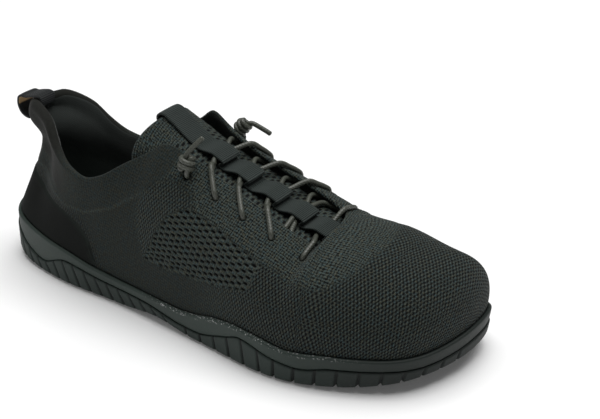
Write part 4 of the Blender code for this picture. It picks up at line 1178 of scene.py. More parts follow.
def knit_zones(points, share):
    """Shares of each kind of knit at the outer face's points, and the relief of their borders."""
    x, z = points[..., 0], points[..., 2]
    to_throat = nearest(points, throat_line())
    side = inside_polygon(x, z, PANEL)
    panel = ease(*PANEL_BLEND, side)
    half_open = ease(*HALF_BLEND, inside_polygon(x, z, PANEL_TOP)) * (1.0 - panel)
    past_collar = inside_polygon(x, z, COLLAR)
    smooth = ease(*COLLAR_BLEND, past_collar)
    past_band = to_throat - PLAIN_BAND[0] - (PLAIN_BAND[1] - PLAIN_BAND[0]) * ease(*PLAIN_CHANGE, x)
    plain = (1.0 - ease(*PLAIN_BLEND, past_band)) * (1.0 - panel) * (1.0 - smooth) * (1.0 - half_open)
    toes = ease(*TOE_KNIT, x)
    open_knit = (1.0 - plain) * (1.0 - panel) * (1.0 - smooth)
    beside = np.exp(-(nearest(points, counter_line()) / HEEL_STITCHES) ** 2)
    pin = np.maximum(np.maximum(toes * open_knit, HALF_OPEN * half_open), HEEL_STRENGTH * beside)
    quarter = (1.0 - toes) * open_knit * (1.0 - half_open)
    brushed = (1.0 - ease(*BRUSHED_X, x)) * ease(*BRUSHED_SHARE, share)
    relief = swell(COLLAR_RIDGE, past_collar) + swell(PANEL_RIM, side + PANEL_RIM_OUT)
    relief -= swell(PLAIN_DIP, past_band) * (1.0 - smooth)
    # Darker knit on the quarter and collar: partly a darker yarn, partly painted shade
    dim = np.maximum(quarter, smooth * (1.0 - brushed))
    return {"pin": pin, "panel": panel, "plain": plain, "brushed": brushed, "dim": dim}, relief


def lace_holes():
    """Middle points of the lace holes on the knit's outer face."""
    places = [eyelet_place(side, index) for side in (-1, 1) for index in range(len(EYELET_FEET))]
    return np.array([wall_point(angle, share) for angle, share in places])


def own_plane(points, corners):
    """Each triangle laid in its own plane, as complex numbers: first corner at nought, second ahead."""
    a, b, c = points[corners[:, 0]], points[corners[:, 1]], points[corners[:, 2]]
    base = np.linalg.norm(b - a, axis=1)
    ahead = (b - a) / base[:, None]
    apex = np.sum((c - a) * ahead, axis=1) + 1j * np.linalg.norm(np.cross(ahead, c - a), axis=1)
    return np.stack([np.zeros_like(apex), base + 0j, apex], axis=1)


def triangle_equations(points, corners):
    """Complex weights of each triangle's corners: their sum over the corners' flat places is nought
    when the triangle keeps its angles; each is divided by the root of twice the area."""
    own = own_plane(points, corners)
    sides = np.roll(own, 1, axis=1) - np.roll(own, -1, axis=1)
    return sides / np.sqrt(own[:, 1].real * own[:, 2].imag)[:, None]


def even_out(points, corners, flat):
    """Flat places with truer lengths: in each round every true triangle is turned to fit its flat one,
    and the places move to suit the turned triangles' sides, weighted by cotangents of their angles."""
    own = own_plane(points, corners)
    first, second = np.roll(corners, -1, axis=1), np.roll(corners, -2, axis=1)
    to_first, to_second = np.roll(own, -1, axis=1) - own, np.roll(own, -2, axis=1) - own
    product = np.conj(to_first) * to_second
    weight = np.clip(product.real / product.imag, *COTANGENTS)
    side = to_second - to_first
    count = len(points)
    system = np.zeros((count, count))
    for end, other in ((first, second), (second, first)):
        np.add.at(system, (end, end), weight)
        np.add.at(system, (end, other), -weight)
    inverse = np.linalg.inv(system[1:, 1:])
    for _ in range(PATTERN_ROUNDS):
        turn = np.sum(weight * (flat[second] - flat[first]) * np.conj(side), axis=1, keepdims=True)
        pull = weight * side * turn / np.abs(turn)
        force = np.zeros(count, complex)
        np.add.at(force, second, pull)
        np.add.at(force, first, -pull)
        flat = np.append(0.0, inverse @ force[1:])
    return flat


def lay_flat(points, corners, held):
    """Least-squares conformal map of a triangle mesh: two held points take 0 and their distance."""
    weight = triangle_equations(points, corners)
    count = len(points)
    normal = np.zeros((count, count), complex)
    products = np.conj(weight)[:, :, None] * weight[:, None, :]
    np.add.at(normal, (corners[:, :, None], corners[:, None, :]), products)
    fixed = np.array([0.0, np.linalg.norm(points[held[1]] - points[held[0]])], complex)
    free = np.setdiff1d(np.arange(count), held)
    flat = np.zeros(count, complex)
    flat[held] = fixed
    flat[free] = np.linalg.solve(normal[np.ix_(free, free)], -normal[np.ix_(free, held)] @ fixed)
    return flat


def cloth_coordinates(outer, in_front):
    """Places of the outer face's points on the flat pattern of the upper, which is cut down the heel:
    distance in front of the throat's front corner, and distance to the inner side."""
    rows, cols = outer.shape[:2]
    half = np.unique(np.linspace(0, cols // 2, PATTERN_COLUMNS).astype(int))
    picked = np.concatenate([half, (cols - half)[::-1][1:]])
    lines = np.unique(np.linspace(0, rows - 1, PATTERN_ROWS).astype(int))
    coarse = closed(outer)[lines][:, picked]
    number = np.arange(coarse.shape[0] * coarse.shape[1]).reshape(coarse.shape[:2])
    ridge = np.append(in_front, in_front[0])[picked]
    past_toe = ridge & (picked > cols // 2)
    number[-1, past_toe] = number[-1, ::-1][past_toe]
    kept, number = np.unique(number, return_inverse=True)
    number = number.reshape(coarse.shape[:2])
    points = coarse.reshape(-1, 3)[kept]
    quads = number.ravel()[grid_faces(*number.shape)]
    corners = np.concatenate([quads[:, [0, 1, 2]], quads[:, [0, 2, 3]]])
    a, b, c = points[corners[:, 0]], points[corners[:, 1]], points[corners[:, 2]]
    corners = corners[np.linalg.norm(np.cross(b - a, c - a), axis=1) > 1e-3]
    throat = number[-1, np.flatnonzero(ridge)[0]]
    toe = number[0, len(half) - 1]
    flat = even_out(points, corners, lay_flat(points, corners, np.array([throat, toe])))
    flat = flat - flat[throat]
    flat = flat * np.abs(flat[toe]) / flat[toe]
    shown = flat[number]
    wide = np.stack([np.interp(np.arange(cols + 1), picked, line) for line in shown])
    return np.stack([np.interp(np.arange(rows), lines, line) for line in wide.T], axis=1)


def outer_face(angle, top, sizes):
    """Outer face of the knit from the lip to its rolled edge: points with their relief, outward
    directions, kinds of knit and flat places."""
    in_front = over_toes(angle)
    low_rows = np.linspace(0.0, LOW_PART, OUTER_ROWS[0], endpoint=False)
    rows = np.concatenate([low_rows, np.linspace(LOW_PART, 1.0, OUTER_ROWS[1])])
    share = rows[:, None] * top[None]
    points = wall_point(angle, share)
    normal = wall_normal(angle, np.minimum(share, POLE_SHARE))
    level = normal[-1] + np.roll(normal[-1, ::-1], 1, axis=0)
    level /= np.linalg.norm(level, axis=-1, keepdims=True)
    blend = ease(*POLE_BLEND, rows)[:, None, None] * in_front[None, :, None]
    normal = normal * (1.0 - blend) + level * blend
    zones, relief = knit_zones(points, share)
    flat = cloth_coordinates(points, in_front)
    turn = 2.0 * np.pi * MM / sizes.mesh_pitch
    dots = np.cos(turn * flat.real) * np.cos(turn / MESH_ROWS * flat.imag)
    relief -= zones["panel"] * sizes.mesh_depth / MM * ease(*MESH_SINK, dots[:, :-1])
    away = nearest(points, lace_holes())
    zones["eyelet"] = 1.0 - ease(*HOLE_DARK, away)
    relief += swell(HOLE_RIM, away - HOLE_RIM_RADIUS) - HOLE_DEPTH * (1.0 - ease(*HOLE_WALL, away))
    fade = ease(*RELIEF_IN, rows)[:, None] * (1.0 - ease(*RELIEF_OUT, rows)[:, None] * ~in_front[None])
    return points + normal * (relief * fade)[..., None], normal, zones, flat


def upper_grid(sizes):
    """Outer face from the cup's floor to the edge, the rolled edge, and the lining down again."""
    angle = upper_angles()
    in_front = over_toes(angle)
    before_edge, edge = wall_section(angle)[2:]
    pace = 3.0 * np.linalg.norm(edge - before_edge, axis=-1)
    roll = np.where(in_front, 0.0, 0.5 * wall_thickness(angle, 1.0))
    top = 1.0 - roll / pace
    outer, normal, zones, flat = outer_face(angle, top, sizes)
    rise = wall_point(angle, top) - wall_point(angle, top - 1e-3)
    rise /= np.linalg.norm(rise, axis=-1, keepdims=True)
    turn = np.linspace(0.0, np.pi, ROLL_ROWS + 2)[1:-1, None, None]
    middle = outer[-1] - normal[-1] * roll[:, None]
    rolled = middle + roll[:, None] * (np.cos(turn) * normal[-1] + np.sin(turn) * rise)
    inner_share = np.linspace(1.0, 0.0, INNER_ROWS)[:, None] * top[None]
    inner_normal = wall_normal(angle, np.clip(inner_share, 1e-3, POLE_SHARE))
    inner_normal[0] = normal[-1]
    inner = wall_point(angle, inner_share) - inner_normal * wall_thickness(angle, inner_share)[..., None]
    foot = sole_heights(angle).floor + GAP
    feet = [ring(angle, cup_inset(angle) + GAP + extra, foot) for extra in (0.0, KNIT_WALL)]
    return np.concatenate([feet[0][None], outer, rolled, inner, feet[1][None]]), zones, flat, in_front


def make_upper(colours, sizes):
    """Knit upper as one closed wall, with its lining on the inner face."""
    grid, zones, flat, in_front = upper_grid(sizes)
    grid = closed(grid)
    rows, cols = grid.shape[:2]
    outer_rows = sum(OUTER_ROWS)
    values = {}
    for key, value in zones.items():
        full = np.zeros((rows, cols))
        full[1:1 + outer_rows] = closed(value)
        full[1 + outer_rows:1 + outer_rows + ROLL_ROWS] = full[outer_rows]
        values[key] = full
    low = np.zeros((rows, cols))
    low[-INNER_ROWS - 1:-1] = ease(*LINING_LOW, np.linspace(0.0, 1.0, INNER_ROWS))[:, None]
    low[-1] = 1.0
    values["low"] = low
    cloth = np.zeros((rows, cols, 2))
    cloth[..., 0] = flat.real[np.clip(np.arange(rows) - 1, 0, outer_rows - 1)]
    cloth[1:1 + outer_rows, :, 1] = flat.imag
    cloth[outer_rows:, :, 1] = flat.imag[-1:] + run_length(grid[outer_rows:])
    faces = grid_faces(rows, cols, wrap=True)
    row_of = np.repeat(np.arange(rows), cols - 1)
    col_of = np.tile(np.arange(cols - 1), rows)
    front = np.append(in_front, in_front[0])
    rolled = (row_of >= outer_rows) & (row_of < outer_rows + ROLL_ROWS + 1)
    kept = ~(rolled & front[col_of] & front[col_of + 1])
    lining = row_of[kept] >= outer_rows + ROLL_ROWS
    made = make_piece("knit_upper", grid, faces[kept], cloth, values, lining)
    # Matt yarn outside; inside, a smooth brushed lining that takes little light, with painted light at its
    # foot
    knit = knit_material("polyester_engineered_knit", colours, sizes)
    inside = cloth_material("polyester_lining_brushed", colours.lining, LINING, colours.terry)
    dress(made, "knit", ["upper"], knit, inside)


def closing(line):
    """Ring drawn together onto its own middle line, which closes a stack of rings straight across."""
    return 0.5 * (line + np.roll(line[::-1], 1, axis=0))


def loft_piece(name, rings, values, sharp):
    """Closed rubber piece from a stack of rings, rows upward on its outside."""
    grid = closed(np.stack(rings))
    full = {key: closed(value) for key, value in values.items()}
    return make_piece(name, grid, grid_faces(*grid.shape[:2]), values=full, sharp=sharp)


def even_angles(step):
    """Outline angles at even steps of length along the lip, the same on both sides."""
    dense, length = lip_lengths()
    return half_and_mirror(np.interp(np.linspace(0.0, length[-1], int(length[-1] / step)), length, dense))


def groove_depth(angle, height):
    """Depth of the upright grooves at outline angles and shares of the rubber's height: a soft dip
    round each groove's middle, which leans to the heel in the back zone."""
    dense, length = lip_lengths()
    folded = np.pi - np.abs(np.pi - angle)
    place = np.interp(folded, dense, length)
    depth = np.zeros((len(height), len(angle)))
    for zone, lean in zip(GROOVES, GROOVE_LEAN):
        start, end = np.interp(station_angle([zone.start, zone.end]), dense, length)
        for middle in np.linspace(start, end, zone.count):
            away = place[None] - middle + lean * height[:, None]
            depth = np.maximum(depth, zone.depth * np.exp(-(away / (GROOVE_SHARE * zone.width)) ** 4))
    return depth


# Share of painted shade at the toe, and where it grows
TOE_SHADE = 0.75
TOE_SHADE_X = (200.0, 270.0)
# Steps along the lip of the ribbed rubber, the band and the footbed
SOLE_STEPS = (0.45, 1.3, 2.4)
# Ribs: rounds at their foot and under the wave, small round at the foot, and how the grooves grow shallow
# and their ends rise
RIB_FOOT = 1.2
RIB_ROUND = 0.7
FOOT_ROUND = 0.35
GROOVE_FADE = 0.35
END_SHARE = 0.6
# Band: bevel at its foot, round over its lip, drop behind the lip, and share of the wall's slope that the
# top of the band loses
BAND_BEVEL = 0.2
LIP_ROLL = 1.4
LIP_DROP = 0.2
BAND_UPRIGHT = 0.5
# Specks of cement: where they start and end along the ball of the foot, and how close to the lip
SPECKS_START = (112.0, 132.0)
SPECKS_END = (225.0, 262.0)
SPECKS_HIGH = (0.88, 1.0)
# Angles in degrees past which an edge of the rubber stays crisp
RIB_CRISP = 50
BAND_CRISP = 60
# Footbed: rounds of its under edge and rim, and its dip towards the middle line
BED_UNDER = 0.6
BED_RIM = 0.8
BED_DIP = 0.7


def shaded_toe(x):
    """Share of painted shade on the rubber, which grows towards the toe."""
    return TOE_SHADE * ease(*TOE_SHADE_X, x)


def rounded_edge(radius, turns):
    """Steps of a quarter round: distances in and up, from upright to level."""
    angle = 0.5 * np.pi * np.asarray(turns)
    return zip(radius * (1.0 - np.cos(angle)), radius * np.sin(angle))


def make_ribbed_sole(colours):
    """Ribbed rubber: cross lugs underneath, grooved side, rounded waved edge and a sunk core."""
    angle = even_angles(SOLE_STEPS[0])
    sole = sole_heights(angle)
    foot = sole.low + RIB_FOOT
    edge = sole.wave - RIB_ROUND
    height = np.linspace(0.0, 1.0, 9)
    depth = groove_depth(angle, height)
    lug = LUG_DEPTH * np.minimum(depth[0], 1.0)
    bottom = ring(angle, wall_inset(angle, sole.low) + RIB_FOOT + depth[0], sole.low + lug)
    rings = [closing(bottom), bottom]
    # Painted shade in the lugs and grooves, darker the deeper they are; it also stands for dust there
    sunk = [lug / LUG_DEPTH, END_SHARE * depth[0]]
    for share, groove in zip(height, depth):
        z = foot + (edge - foot) * share
        reach = wall_inset(angle, z) - RIB_STEP + groove * (1.0 - GROOVE_FADE * share)
        rings.append(ring(angle, reach + FOOT_ROUND * (share == 0.0), z + END_SHARE * lug * (1.0 - share)))
        sunk.append(groove)
    reach = wall_inset(angle, edge) - RIB_STEP + END_SHARE * depth[-1]
    for fall, rise in rounded_edge(RIB_ROUND, (0.35, 0.75, 1.0)):
        rings.append(ring(angle, reach + fall, edge + rise))
        sunk.append(depth[-1])
    rings.append(ring(angle, wall_inset(angle, sole.wave) + SKIRT, sole.wave))
    inside = ring(angle, wall_inset(angle, sole.core) + SKIRT, sole.core)
    rings += [inside, closing(inside)]
    sunk += [np.zeros_like(angle)] * 3
    # Painted shade towards the toe
    sunk = np.maximum(np.stack(sunk), shaded_toe(SOLE_LENGTH * station_share(angle)))
    made = loft_piece("sole_ribbed", rings, {"sunk": sunk, "worn": np.zeros_like(sunk)}, RIB_CRISP)
    # Ribs straight from the mould: satin, a shade darker than the band
    rubber = rubber_material("rubber_ribbed_moulded", colours.rubber, roughness=0.62)
    dress(made, "outsole_rubber", ["outsole"], rubber)


def make_band(colours):
    """Smooth rubber cup: band over the wave, rounded lip, inner wall and floor."""
    angle = even_angles(SOLE_STEPS[1])
    sole = sole_heights(angle)
    foot = sole.wave + STEP_GAP
    roll = sole.lip - LIP_ROLL
    x = SOLE_LENGTH * station_share(angle)
    ball = ease(*SPECKS_START, x) * (1.0 - ease(*SPECKS_END, x))
    clean = np.zeros_like(angle)
    under = ring(angle, wall_inset(angle, sole.core) + SKIRT + STEP_GAP, sole.core + GAP)
    rings = [closing(under), under, ring(angle, wall_inset(angle, sole.wave) + SKIRT + STEP_GAP, foot)]
    rings.append(ring(angle, wall_inset(angle, foot) + BAND_BEVEL, foot))
    worn = [clean] * 4
    for share in np.linspace(0.08, 1.0, 9):
        z = foot + (roll - foot) * share
        rings.append(ring(angle, wall_inset(angle, z) * (1.0 - BAND_UPRIGHT * share), z))
        worn.append(ball * ease(*SPECKS_HIGH, share))
    for fall, rise in rounded_edge(LIP_ROLL, np.linspace(0.2, 1.0, 5)):
        rings.append(ring(angle, fall, roll + rise))
        worn.append(ball)
    rings.append(ring(angle, LIP_WIDTH, sole.lip - LIP_DROP))
    inside = ring(angle, cup_inset(angle), sole.floor)
    rings += [inside, closing(inside)]
    worn = np.stack(worn + [ball, clean, clean])
    # Painted shade towards the toe
    dull = np.broadcast_to(shaded_toe(x), worn.shape)
    made = loft_piece("sole_band", rings, {"worn": worn, "sunk": dull}, BAND_CRISP)
    # Polished mould face: a smooth satin band with small pale specks of cement at its lip
    rubber = rubber_material("rubber_smooth_moulded", colours.band, roughness=0.55)
    dress(made, "band_rubber", ["midsole"], rubber)


def make_footbed(colours):
    """Thin footbed: rounded rim and a top that dips slightly to its middle line."""
    angle = even_angles(SOLE_STEPS[2])
    inset = cup_inset(angle) + KNIT_WALL + 3.0 * GAP
    base = sole_heights(angle).floor + GAP
    under = ring(angle, inset + BED_UNDER, base)
    rings = [closing(under), under, ring(angle, inset, base + BED_RIM)]
    rings.append(ring(angle, inset, base + INSOLE_THICKNESS - BED_RIM))
    rim = ring(angle, inset + BED_RIM, base + INSOLE_THICKNESS)
    spine = closing(rim)
    for share in np.linspace(0.0, 1.0, 12):
        row = rim * (1.0 - share) + spine * share
        row[:, 2] -= BED_DIP * ease(0.0, 0.7, share)
        rings.append(row)
    grid = closed(np.stack(rings))
    made = make_piece("footbed", grid, grid_faces(*grid.shape[:2]), grid[..., :2])
    # Brushed cloth glued on foam: dull and a little fuzzy, lightened as painted light in the shaded inside
    cloth = cloth_material("polyester_cloth_brushed_on_foam", colours.terry, FOOTBED)
    dress(made, "footbed", ["insole"], cloth)


# Tongue's grid, its closer border at the top and that border's blend, its ridge, and the rounded top edge
TONGUE_GRID = (130, 71)
TONGUE_BORDER = 18.0
BORDER_BLEND = 2.0
BORDER_RIDGE = Border(0.35, 2.0)
TOP_DROP = 0.5
TOP_ROUND = 2.0


def make_tongue(colours, sizes):
    """Tongue sheet over the foot: open mesh beside the tape and a closer ribbed border at the top."""
    along = np.linspace(TONGUE[0].along, TONGUE[-1].along, TONGUE_GRID[0])
    side = np.linspace(-1.0, 1.0, TONGUE_GRID[1])
    grid = tongue_point(along[:, None], side[None])
    up = run_length(grid)
    across = run_length(grid, axis=1)
    across = across - across[:, TONGUE_GRID[1] // 2, None]
    top = up[-1:] - up
    border = 1.0 - ease(TONGUE_BORDER - BORDER_BLEND, TONGUE_BORDER + BORDER_BLEND, top)
    values = {key: np.zeros(TONGUE_GRID) for key in ZONES}
    values["panel"] = 1.0 - border
    values["plain"] = border
    grid[..., 2] += swell(BORDER_RIDGE, top - TONGUE_BORDER) - TOP_DROP * (1.0 - ease(0.0, TOP_ROUND, top))
    cloth = np.stack([across, up], axis=-1)
    made = make_piece("tongue_sheet", grid, grid_faces(*TONGUE_GRID), cloth, values)
    thicken(made, TONGUE_THICKNESS, offset=-1.0)
    # Same matt yarn as the upper, with its mesh open beside the tape
    knit = knit_material("polyester_mesh_knit", colours, sizes)
    dress(made, "tongue_knit", ["tongue"], knit)


# Each loop of the tape is a plate: it climbs over the first stretch, behind its middle, and drops over
# the second, in front of it, folding under itself by a little
PLATE_BACK = (-9.5, 0.0)
PLATE_FRONT = (4.6, 6.4)
PLATE_FOLD = 1.1
# Fall of a strap's edges below its middle
STRAP_DROOP = 0.25


def tape_line():
    """Route of the tape in the middle plane: over the tongue, up its loops and over its top."""
    along = np.linspace(TAPE_FRONT, TONGUE[-1].along, 420)
    part = (along[None] - np.array(TAPE_LOOPS)[:, None]) * SOLE_LENGTH
    plates = ease(*PLATE_BACK, part) * (1.0 - ease(*PLATE_FRONT, part))
    rise = LOOP_RISE * plates.max(axis=0)
    drop = np.clip((part - PLATE_FRONT[0]) / (PLATE_FRONT[1] - PLATE_FRONT[0]), 0.0, 1.0)
    fold_under = PLATE_FOLD * np.sin(2.0 * np.pi * drop).sum(axis=0)
    along = along + fold_under / SOLE_LENGTH
    place = tongue_point(along, np.zeros_like(along))[:, [0, 2]]
    ahead = np.gradient(tongue_point(np.sort(along)[::-1], np.zeros_like(along))[:, [0, 2]], axis=0)
    ahead /= np.linalg.norm(ahead, axis=1, keepdims=True)
    lift = np.stack([ahead[:, 1], -ahead[:, 0]], axis=-1)
    clear = GAP + 0.5 * TAPE_THICKNESS
    line = place + lift * (clear + rise)[:, None]
    depth = 0.5 * (TONGUE_THICKNESS + FOLD_SLACK)
    middle = place[-1] - lift[-1] * depth + ahead[-1] * 0.5 * FOLD_SLACK
    swing = np.linspace(0.5 * np.pi, -0.5 * np.pi, 18)
    fold = np.outer(np.sin(swing), lift[-1]) + np.outer(np.cos(swing), ahead[-1])
    fold = middle + (depth + clear) * fold
    tail = fold[-1] - np.outer(np.linspace(0.1, 1.0, 10), ahead[-1]) * TAPE_FOLD
    return np.vstack([line, fold, tail])


def strap_piece(name, line, width, thickness, columns, values=None):
    """Flat strap along a line in the middle plane, its edges a touch lower than its middle."""
    across = np.linspace(-0.5, 0.5, columns) * width
    rows = len(line)
    ahead = np.gradient(line, axis=0)
    ahead /= np.linalg.norm(ahead, axis=1, keepdims=True)
    lift = np.stack([ahead[:, 1], -ahead[:, 0]], axis=-1)
    droop = -STRAP_DROOP * (2.0 * across / width) ** 4
    grid = np.zeros((rows, columns, 3))
    grid[..., 0] = line[:, :1] + lift[:, :1] * droop[None]
    grid[..., 1] = across[None]
    grid[..., 2] = line[:, 1:] + lift[:, 1:] * droop[None]
    length = np.broadcast_to(run_length(line)[:, None], (rows, columns))
    cloth = np.stack(np.broadcast_arrays(length, across[None]), axis=-1)
    spread = {key: np.repeat(value[:, None], columns, axis=1) for key, value in (values or {}).items()}
    made = make_piece(name, grid, grid_faces(rows, columns), cloth, spread)
    thicken(made, thickness, offset=0.0, inner=1)
    return made


# Stitches: size, number in a row, margin to the tape's edge and height over the tape; the first and the
# last row lie behind the first loop and behind the tape's front, as shares of the length
STITCH_LENGTH = 1.5
STITCH_DIAMETER = 0.55
STITCHES_ACROSS = 7
STITCH_MARGIN = 1.3
STITCH_LIFT = 0.12
FIRST_ROW = 0.027
LAST_ROW = 0.003


def make_stitches(material):
    """Rows of short stitches that hold the tape down between its loops."""
    middles = 0.5 * (np.array(TAPE_LOOPS[1:]) + np.array(TAPE_LOOPS[:-1]))
    rows = np.concatenate([[TAPE_LOOPS[0] - FIRST_ROW], middles, [TAPE_FRONT - LAST_ROW]])
    turn = np.linspace(0.0, 2.0 * np.pi, 9)
    reach = np.linspace(-0.5, 0.5, 7)
    bulge = np.sqrt(np.clip(1.0 - (2.0 * reach) ** 2, 0.0, 1.0))
    ring_of = 0.5 * STITCH_DIAMETER * np.stack([np.cos(turn), np.zeros_like(turn), np.sin(turn)], axis=-1)
    capsule = bulge[:, None, None] * ring_of[None]
    capsule[..., 1] = (STITCH_LENGTH * reach)[:, None]
    across = np.linspace(-0.5, 0.5, STITCHES_ACROSS) * (TAPE_WIDTH - 2.0 * STITCH_MARGIN)
    base = np.repeat(tongue_point(rows, np.zeros_like(rows))[:, None], STITCHES_ACROSS, axis=1)
    base[..., 1] += across
    base[..., 2] += GAP + TAPE_THICKNESS + STITCH_LIFT
    points = base[:, :, None, None] + capsule
    each = grid_faces(len(reach), len(turn))
    shift = np.arange(len(rows) * STITCHES_ACROSS)[:, None, None] * len(reach) * len(turn)
    faces = (each[None] + shift).reshape(-1, 4)
    cloth = np.zeros((points.size // 3, 2))
    made = make_piece("tape_stitches", points, faces, cloth, outward=True)
    dress(made, "tape", [], material)


def make_tape(colours, sizes):
    """Lace tape with its raised loops, and the stitches between them."""
    made = strap_piece("lace_tape", tape_line(), TAPE_WIDTH, TAPE_THICKNESS, columns=13)
    # Woven ribs catch the light across the tape
    tape = tape_material("polyester_grosgrain_tape", colours.tape, sizes.rib_pitch)
    dress(made, "tape", ["lace_webbing"], tape, tape)
    # Twisted thread: short rounded stitches, a little shinier than the knit
    make_stitches(cloth_material("polyester_sewing_thread", colours.tape, SEWING))


# Pull loop: sag of its flat top between two places and heights, then where its front bends down and by
# what share it is tucked back
PULL_SAG = 1.8
SAG_X = (3.0, 9.0)
SAG_Z = (90.0, 95.0)
PULL_BEND = 15.0
PULL_TUCK = 0.45
# Heights between which the loop's inside changes from dark tape to tan
TAN_FROM = (88.6, 89.6)


def make_pull_tab(colours, sizes):
    """Folded tape over the heel's top, with its tan face on the inside of the loop."""
    route = smooth_path([(row.x, 0.0, row.z) for row in PULL_ROUTE], count=90)
    route[:, 2] -= PULL_SAG * ease(*SAG_X, route[:, 0]) * ease(*SAG_Z, route[:, 2])
    route[:, 0] -= PULL_TUCK * np.clip(route[:, 0] - PULL_BEND, 0.0, None)
    low = 1.0 - ease(*TAN_FROM, route[:, 2])
    line = route[:, [0, 2]]
    made = strap_piece("pull_tab", line, PULL_WIDTH, PULL_THICKNESS, columns=11, values={"low": low})
    # Dark grosgrain outside, plain tan twill inside
    outside = tape_material("polyester_grosgrain_pull", colours.pull, sizes.rib_pitch)
    inside = cloth_material("cotton_twill_tape", colours.tan, TWILL, colours.pull)
    dress(made, "tape", ["pull_loop"], outside, inside)


# Heel panel: rise of its face, width of its soft edge, how deep that edge is pressed in, backing, and the
# stretch over which its edge changes from a shade of the knit
PANEL_LIFT = 1.1
PANEL_EDGE = 3.6
PANEL_SINK = 0.25
PANEL_BACKING = 0.3
PANEL_FADE = (0.8, 4.6)
# The knit's darker tone round the panel, which is partly painted shade
FADE_SHADE = 0.42


def make_heel_panel(colours):
    """Thin film panel round the heel, from just over the lip to its curved top."""
    reach = station_angle(COUNTER[-1].foot)
    angle = np.linspace(-reach, reach, 181)
    top = even_column(COUNTER, "share", angle)
    part = np.linspace(0.0, 1.0, 60)[:, None]
    share = COUNTER_START + (top - COUNTER_START)[None] * part
    normal = wall_normal(angle, share)
    grid = wall_point(angle, share)
    rim = np.concatenate([grid[-1], grid[:, 0], grid[:, -1]])
    inward = nearest(grid, rim)
    step = PANEL_LIFT * ease(0.0, PANEL_EDGE, inward) - PANEL_SINK
    grid = grid + normal * step[..., None]
    cloth = np.stack([run_length(grid, axis=1), run_length(grid)], axis=-1)
    values = {"low": 1.0 - ease(*PANEL_FADE, inward)}
    made = make_piece("heel_panel", grid, grid_faces(*share.shape), cloth, values)
    thicken(made, PANEL_BACKING, offset=-1.0)
    # Flocked film: darker than the knit and dull, with a faint nap
    edge = tuple(FADE_SHADE * c for c in colours.knit)
    film = cloth_material("microfibre_flocked_film", colours.counter, FLOCK, edge)
    dress(made, "counter_skin", ["heel_counter"], film)


# Way of a strand from the throat's edge to its lace hole, over the knit or under it: share of the way, then
# height over the knit's outer face, in lace radii and in millimetres more
Leg = namedtuple("Leg", "part radii more")
OVER_LEG = [
    Leg(0.0, 1.0, 0.4), Leg(0.3, 1.0, 0.0), Leg(0.65, 0.9, 0.0), Leg(0.9, 0.5, 0.0), Leg(1.0, 0.0, -1.0),
    Leg(1.04, 0.0, -4.2),
]
UNDER_FACE = -KNIT_WALL - GAP - 0.2
UNDER_LEG = [
    Leg(0.0, -1.0, UNDER_FACE), Leg(0.5, -1.0, UNDER_FACE), Leg(0.85, -1.0, UNDER_FACE + 0.4),
    Leg(1.0, 0.0, -1.2),
]
# Lie of a strand in its loop: height over the tongue, its way past the tape's edge, share of the shift that
# it has there, slope of the tape, and height that two crossing strands are apart by
LOOP_CLEAR = 0.6
TAPE_PAST = 0.5
LOOP_LEAN = 0.35
TAPE_SLOPE = -0.45
STRAND_LEVEL = 0.7


def strand_arm(side, over, x_edge, index):
    """Outer end of a strand: over the throat's edge and down into its lace hole, or under the edge
    and up into the hole from inside."""
    radius = 0.5 * LACE_ROOM
    edge = throat_angle(side, x_edge)
    angle, share = eyelet_place(side, index)
    rows = OVER_LEG if over else UNDER_LEG
    leg = [(row.part, row.radii * radius + row.more) for row in rows]
    return [off_wall(edge + (angle - edge) * part, 1.0 + (share - 1.0) * part, lift) for part, lift in leg]


def strand_path(row, level):
    """Path of one strand through its loop of the tape, a little over or under the other strand."""
    x = TAPE_LOOPS[row.loop] * SOLE_LENGTH
    z = tongue_row(TAPE_LOOPS[row.loop])[0] + GAP + 0.5 * LACE_ROOM + LOOP_CLEAR + level
    first = strand_arm(row.side_a, row.over_a, x + row.shift_a, row.eyelet_a)
    last = strand_arm(row.side_b, row.over_b, x + row.shift_b, row.eyelet_b)
    inside = 0.5 * TAPE_WIDTH + TAPE_PAST
    lean_a, lean_b = LOOP_LEAN * row.shift_a, LOOP_LEAN * row.shift_b
    passing = [
        (x + lean_a, row.side_a * inside, z + TAPE_SLOPE * lean_a),
        (x, 0.0, z),
        (x + lean_b, row.side_b * inside, z + TAPE_SLOPE * lean_b),
    ]
    return smooth_path(first[::-1] + passing + last, count=90)


def make_strands(sizes, braid):
    """The lace's strands through the loops of the tape and into their lace holes."""
    by_loop = {}
    for row in STRANDS:
        by_loop.setdefault(row.loop, []).append(row)
    for loop, rows in by_loop.items():
        for number, row in enumerate(rows):
            level = STRAND_LEVEL * (2 * number - 1) if len(rows) > 1 else 0.0
            path = strand_path(row, level)
            made = cord_piece(f"lace_strand_{loop + 1}_{'ab'[number]}", path, sizes.lace / MM)
            dress(made, "lace", [f"lace_bar_{loop + 1}"], braid)


# Ends of the lace: name, side, foot station of the knot, and direction of the tail
LaceEnd = namedtuple("LaceEnd", "label side foot direction")
LACE_ENDS = [
    LaceEnd("near", -1, 0.472, (0.30, 0.50, 0.80)),
    LaceEnd("far", 1, 0.470, (0.9, 0.35, -0.2)),
]
# Barrel knot: radius of its wraps' middle line, half its height, turn of the wraps in degrees, and the
# shares of the half height that the wraps and the straight cord reach
KNOT_WRAP = 3.5
KNOT_REACH = 4.2
WRAP_TURN = (220.0, 1080.0)
WRAP_SHARE = 0.75
CORE_SHARE = 0.9
# Depth in the lace hole where the lace starts and height where it comes out, how far the tail turns the
# knot, and the tail's bow
HOLE_START = (-0.8, 0.9)
TAIL_TURN = 0.8
TAIL_BOW = 0.6
# Points along a lace end, and rounds of averaging that ease its bends, as a cord has no corners
LACE_POINTS = 260
LACE_ROUNDS = 24


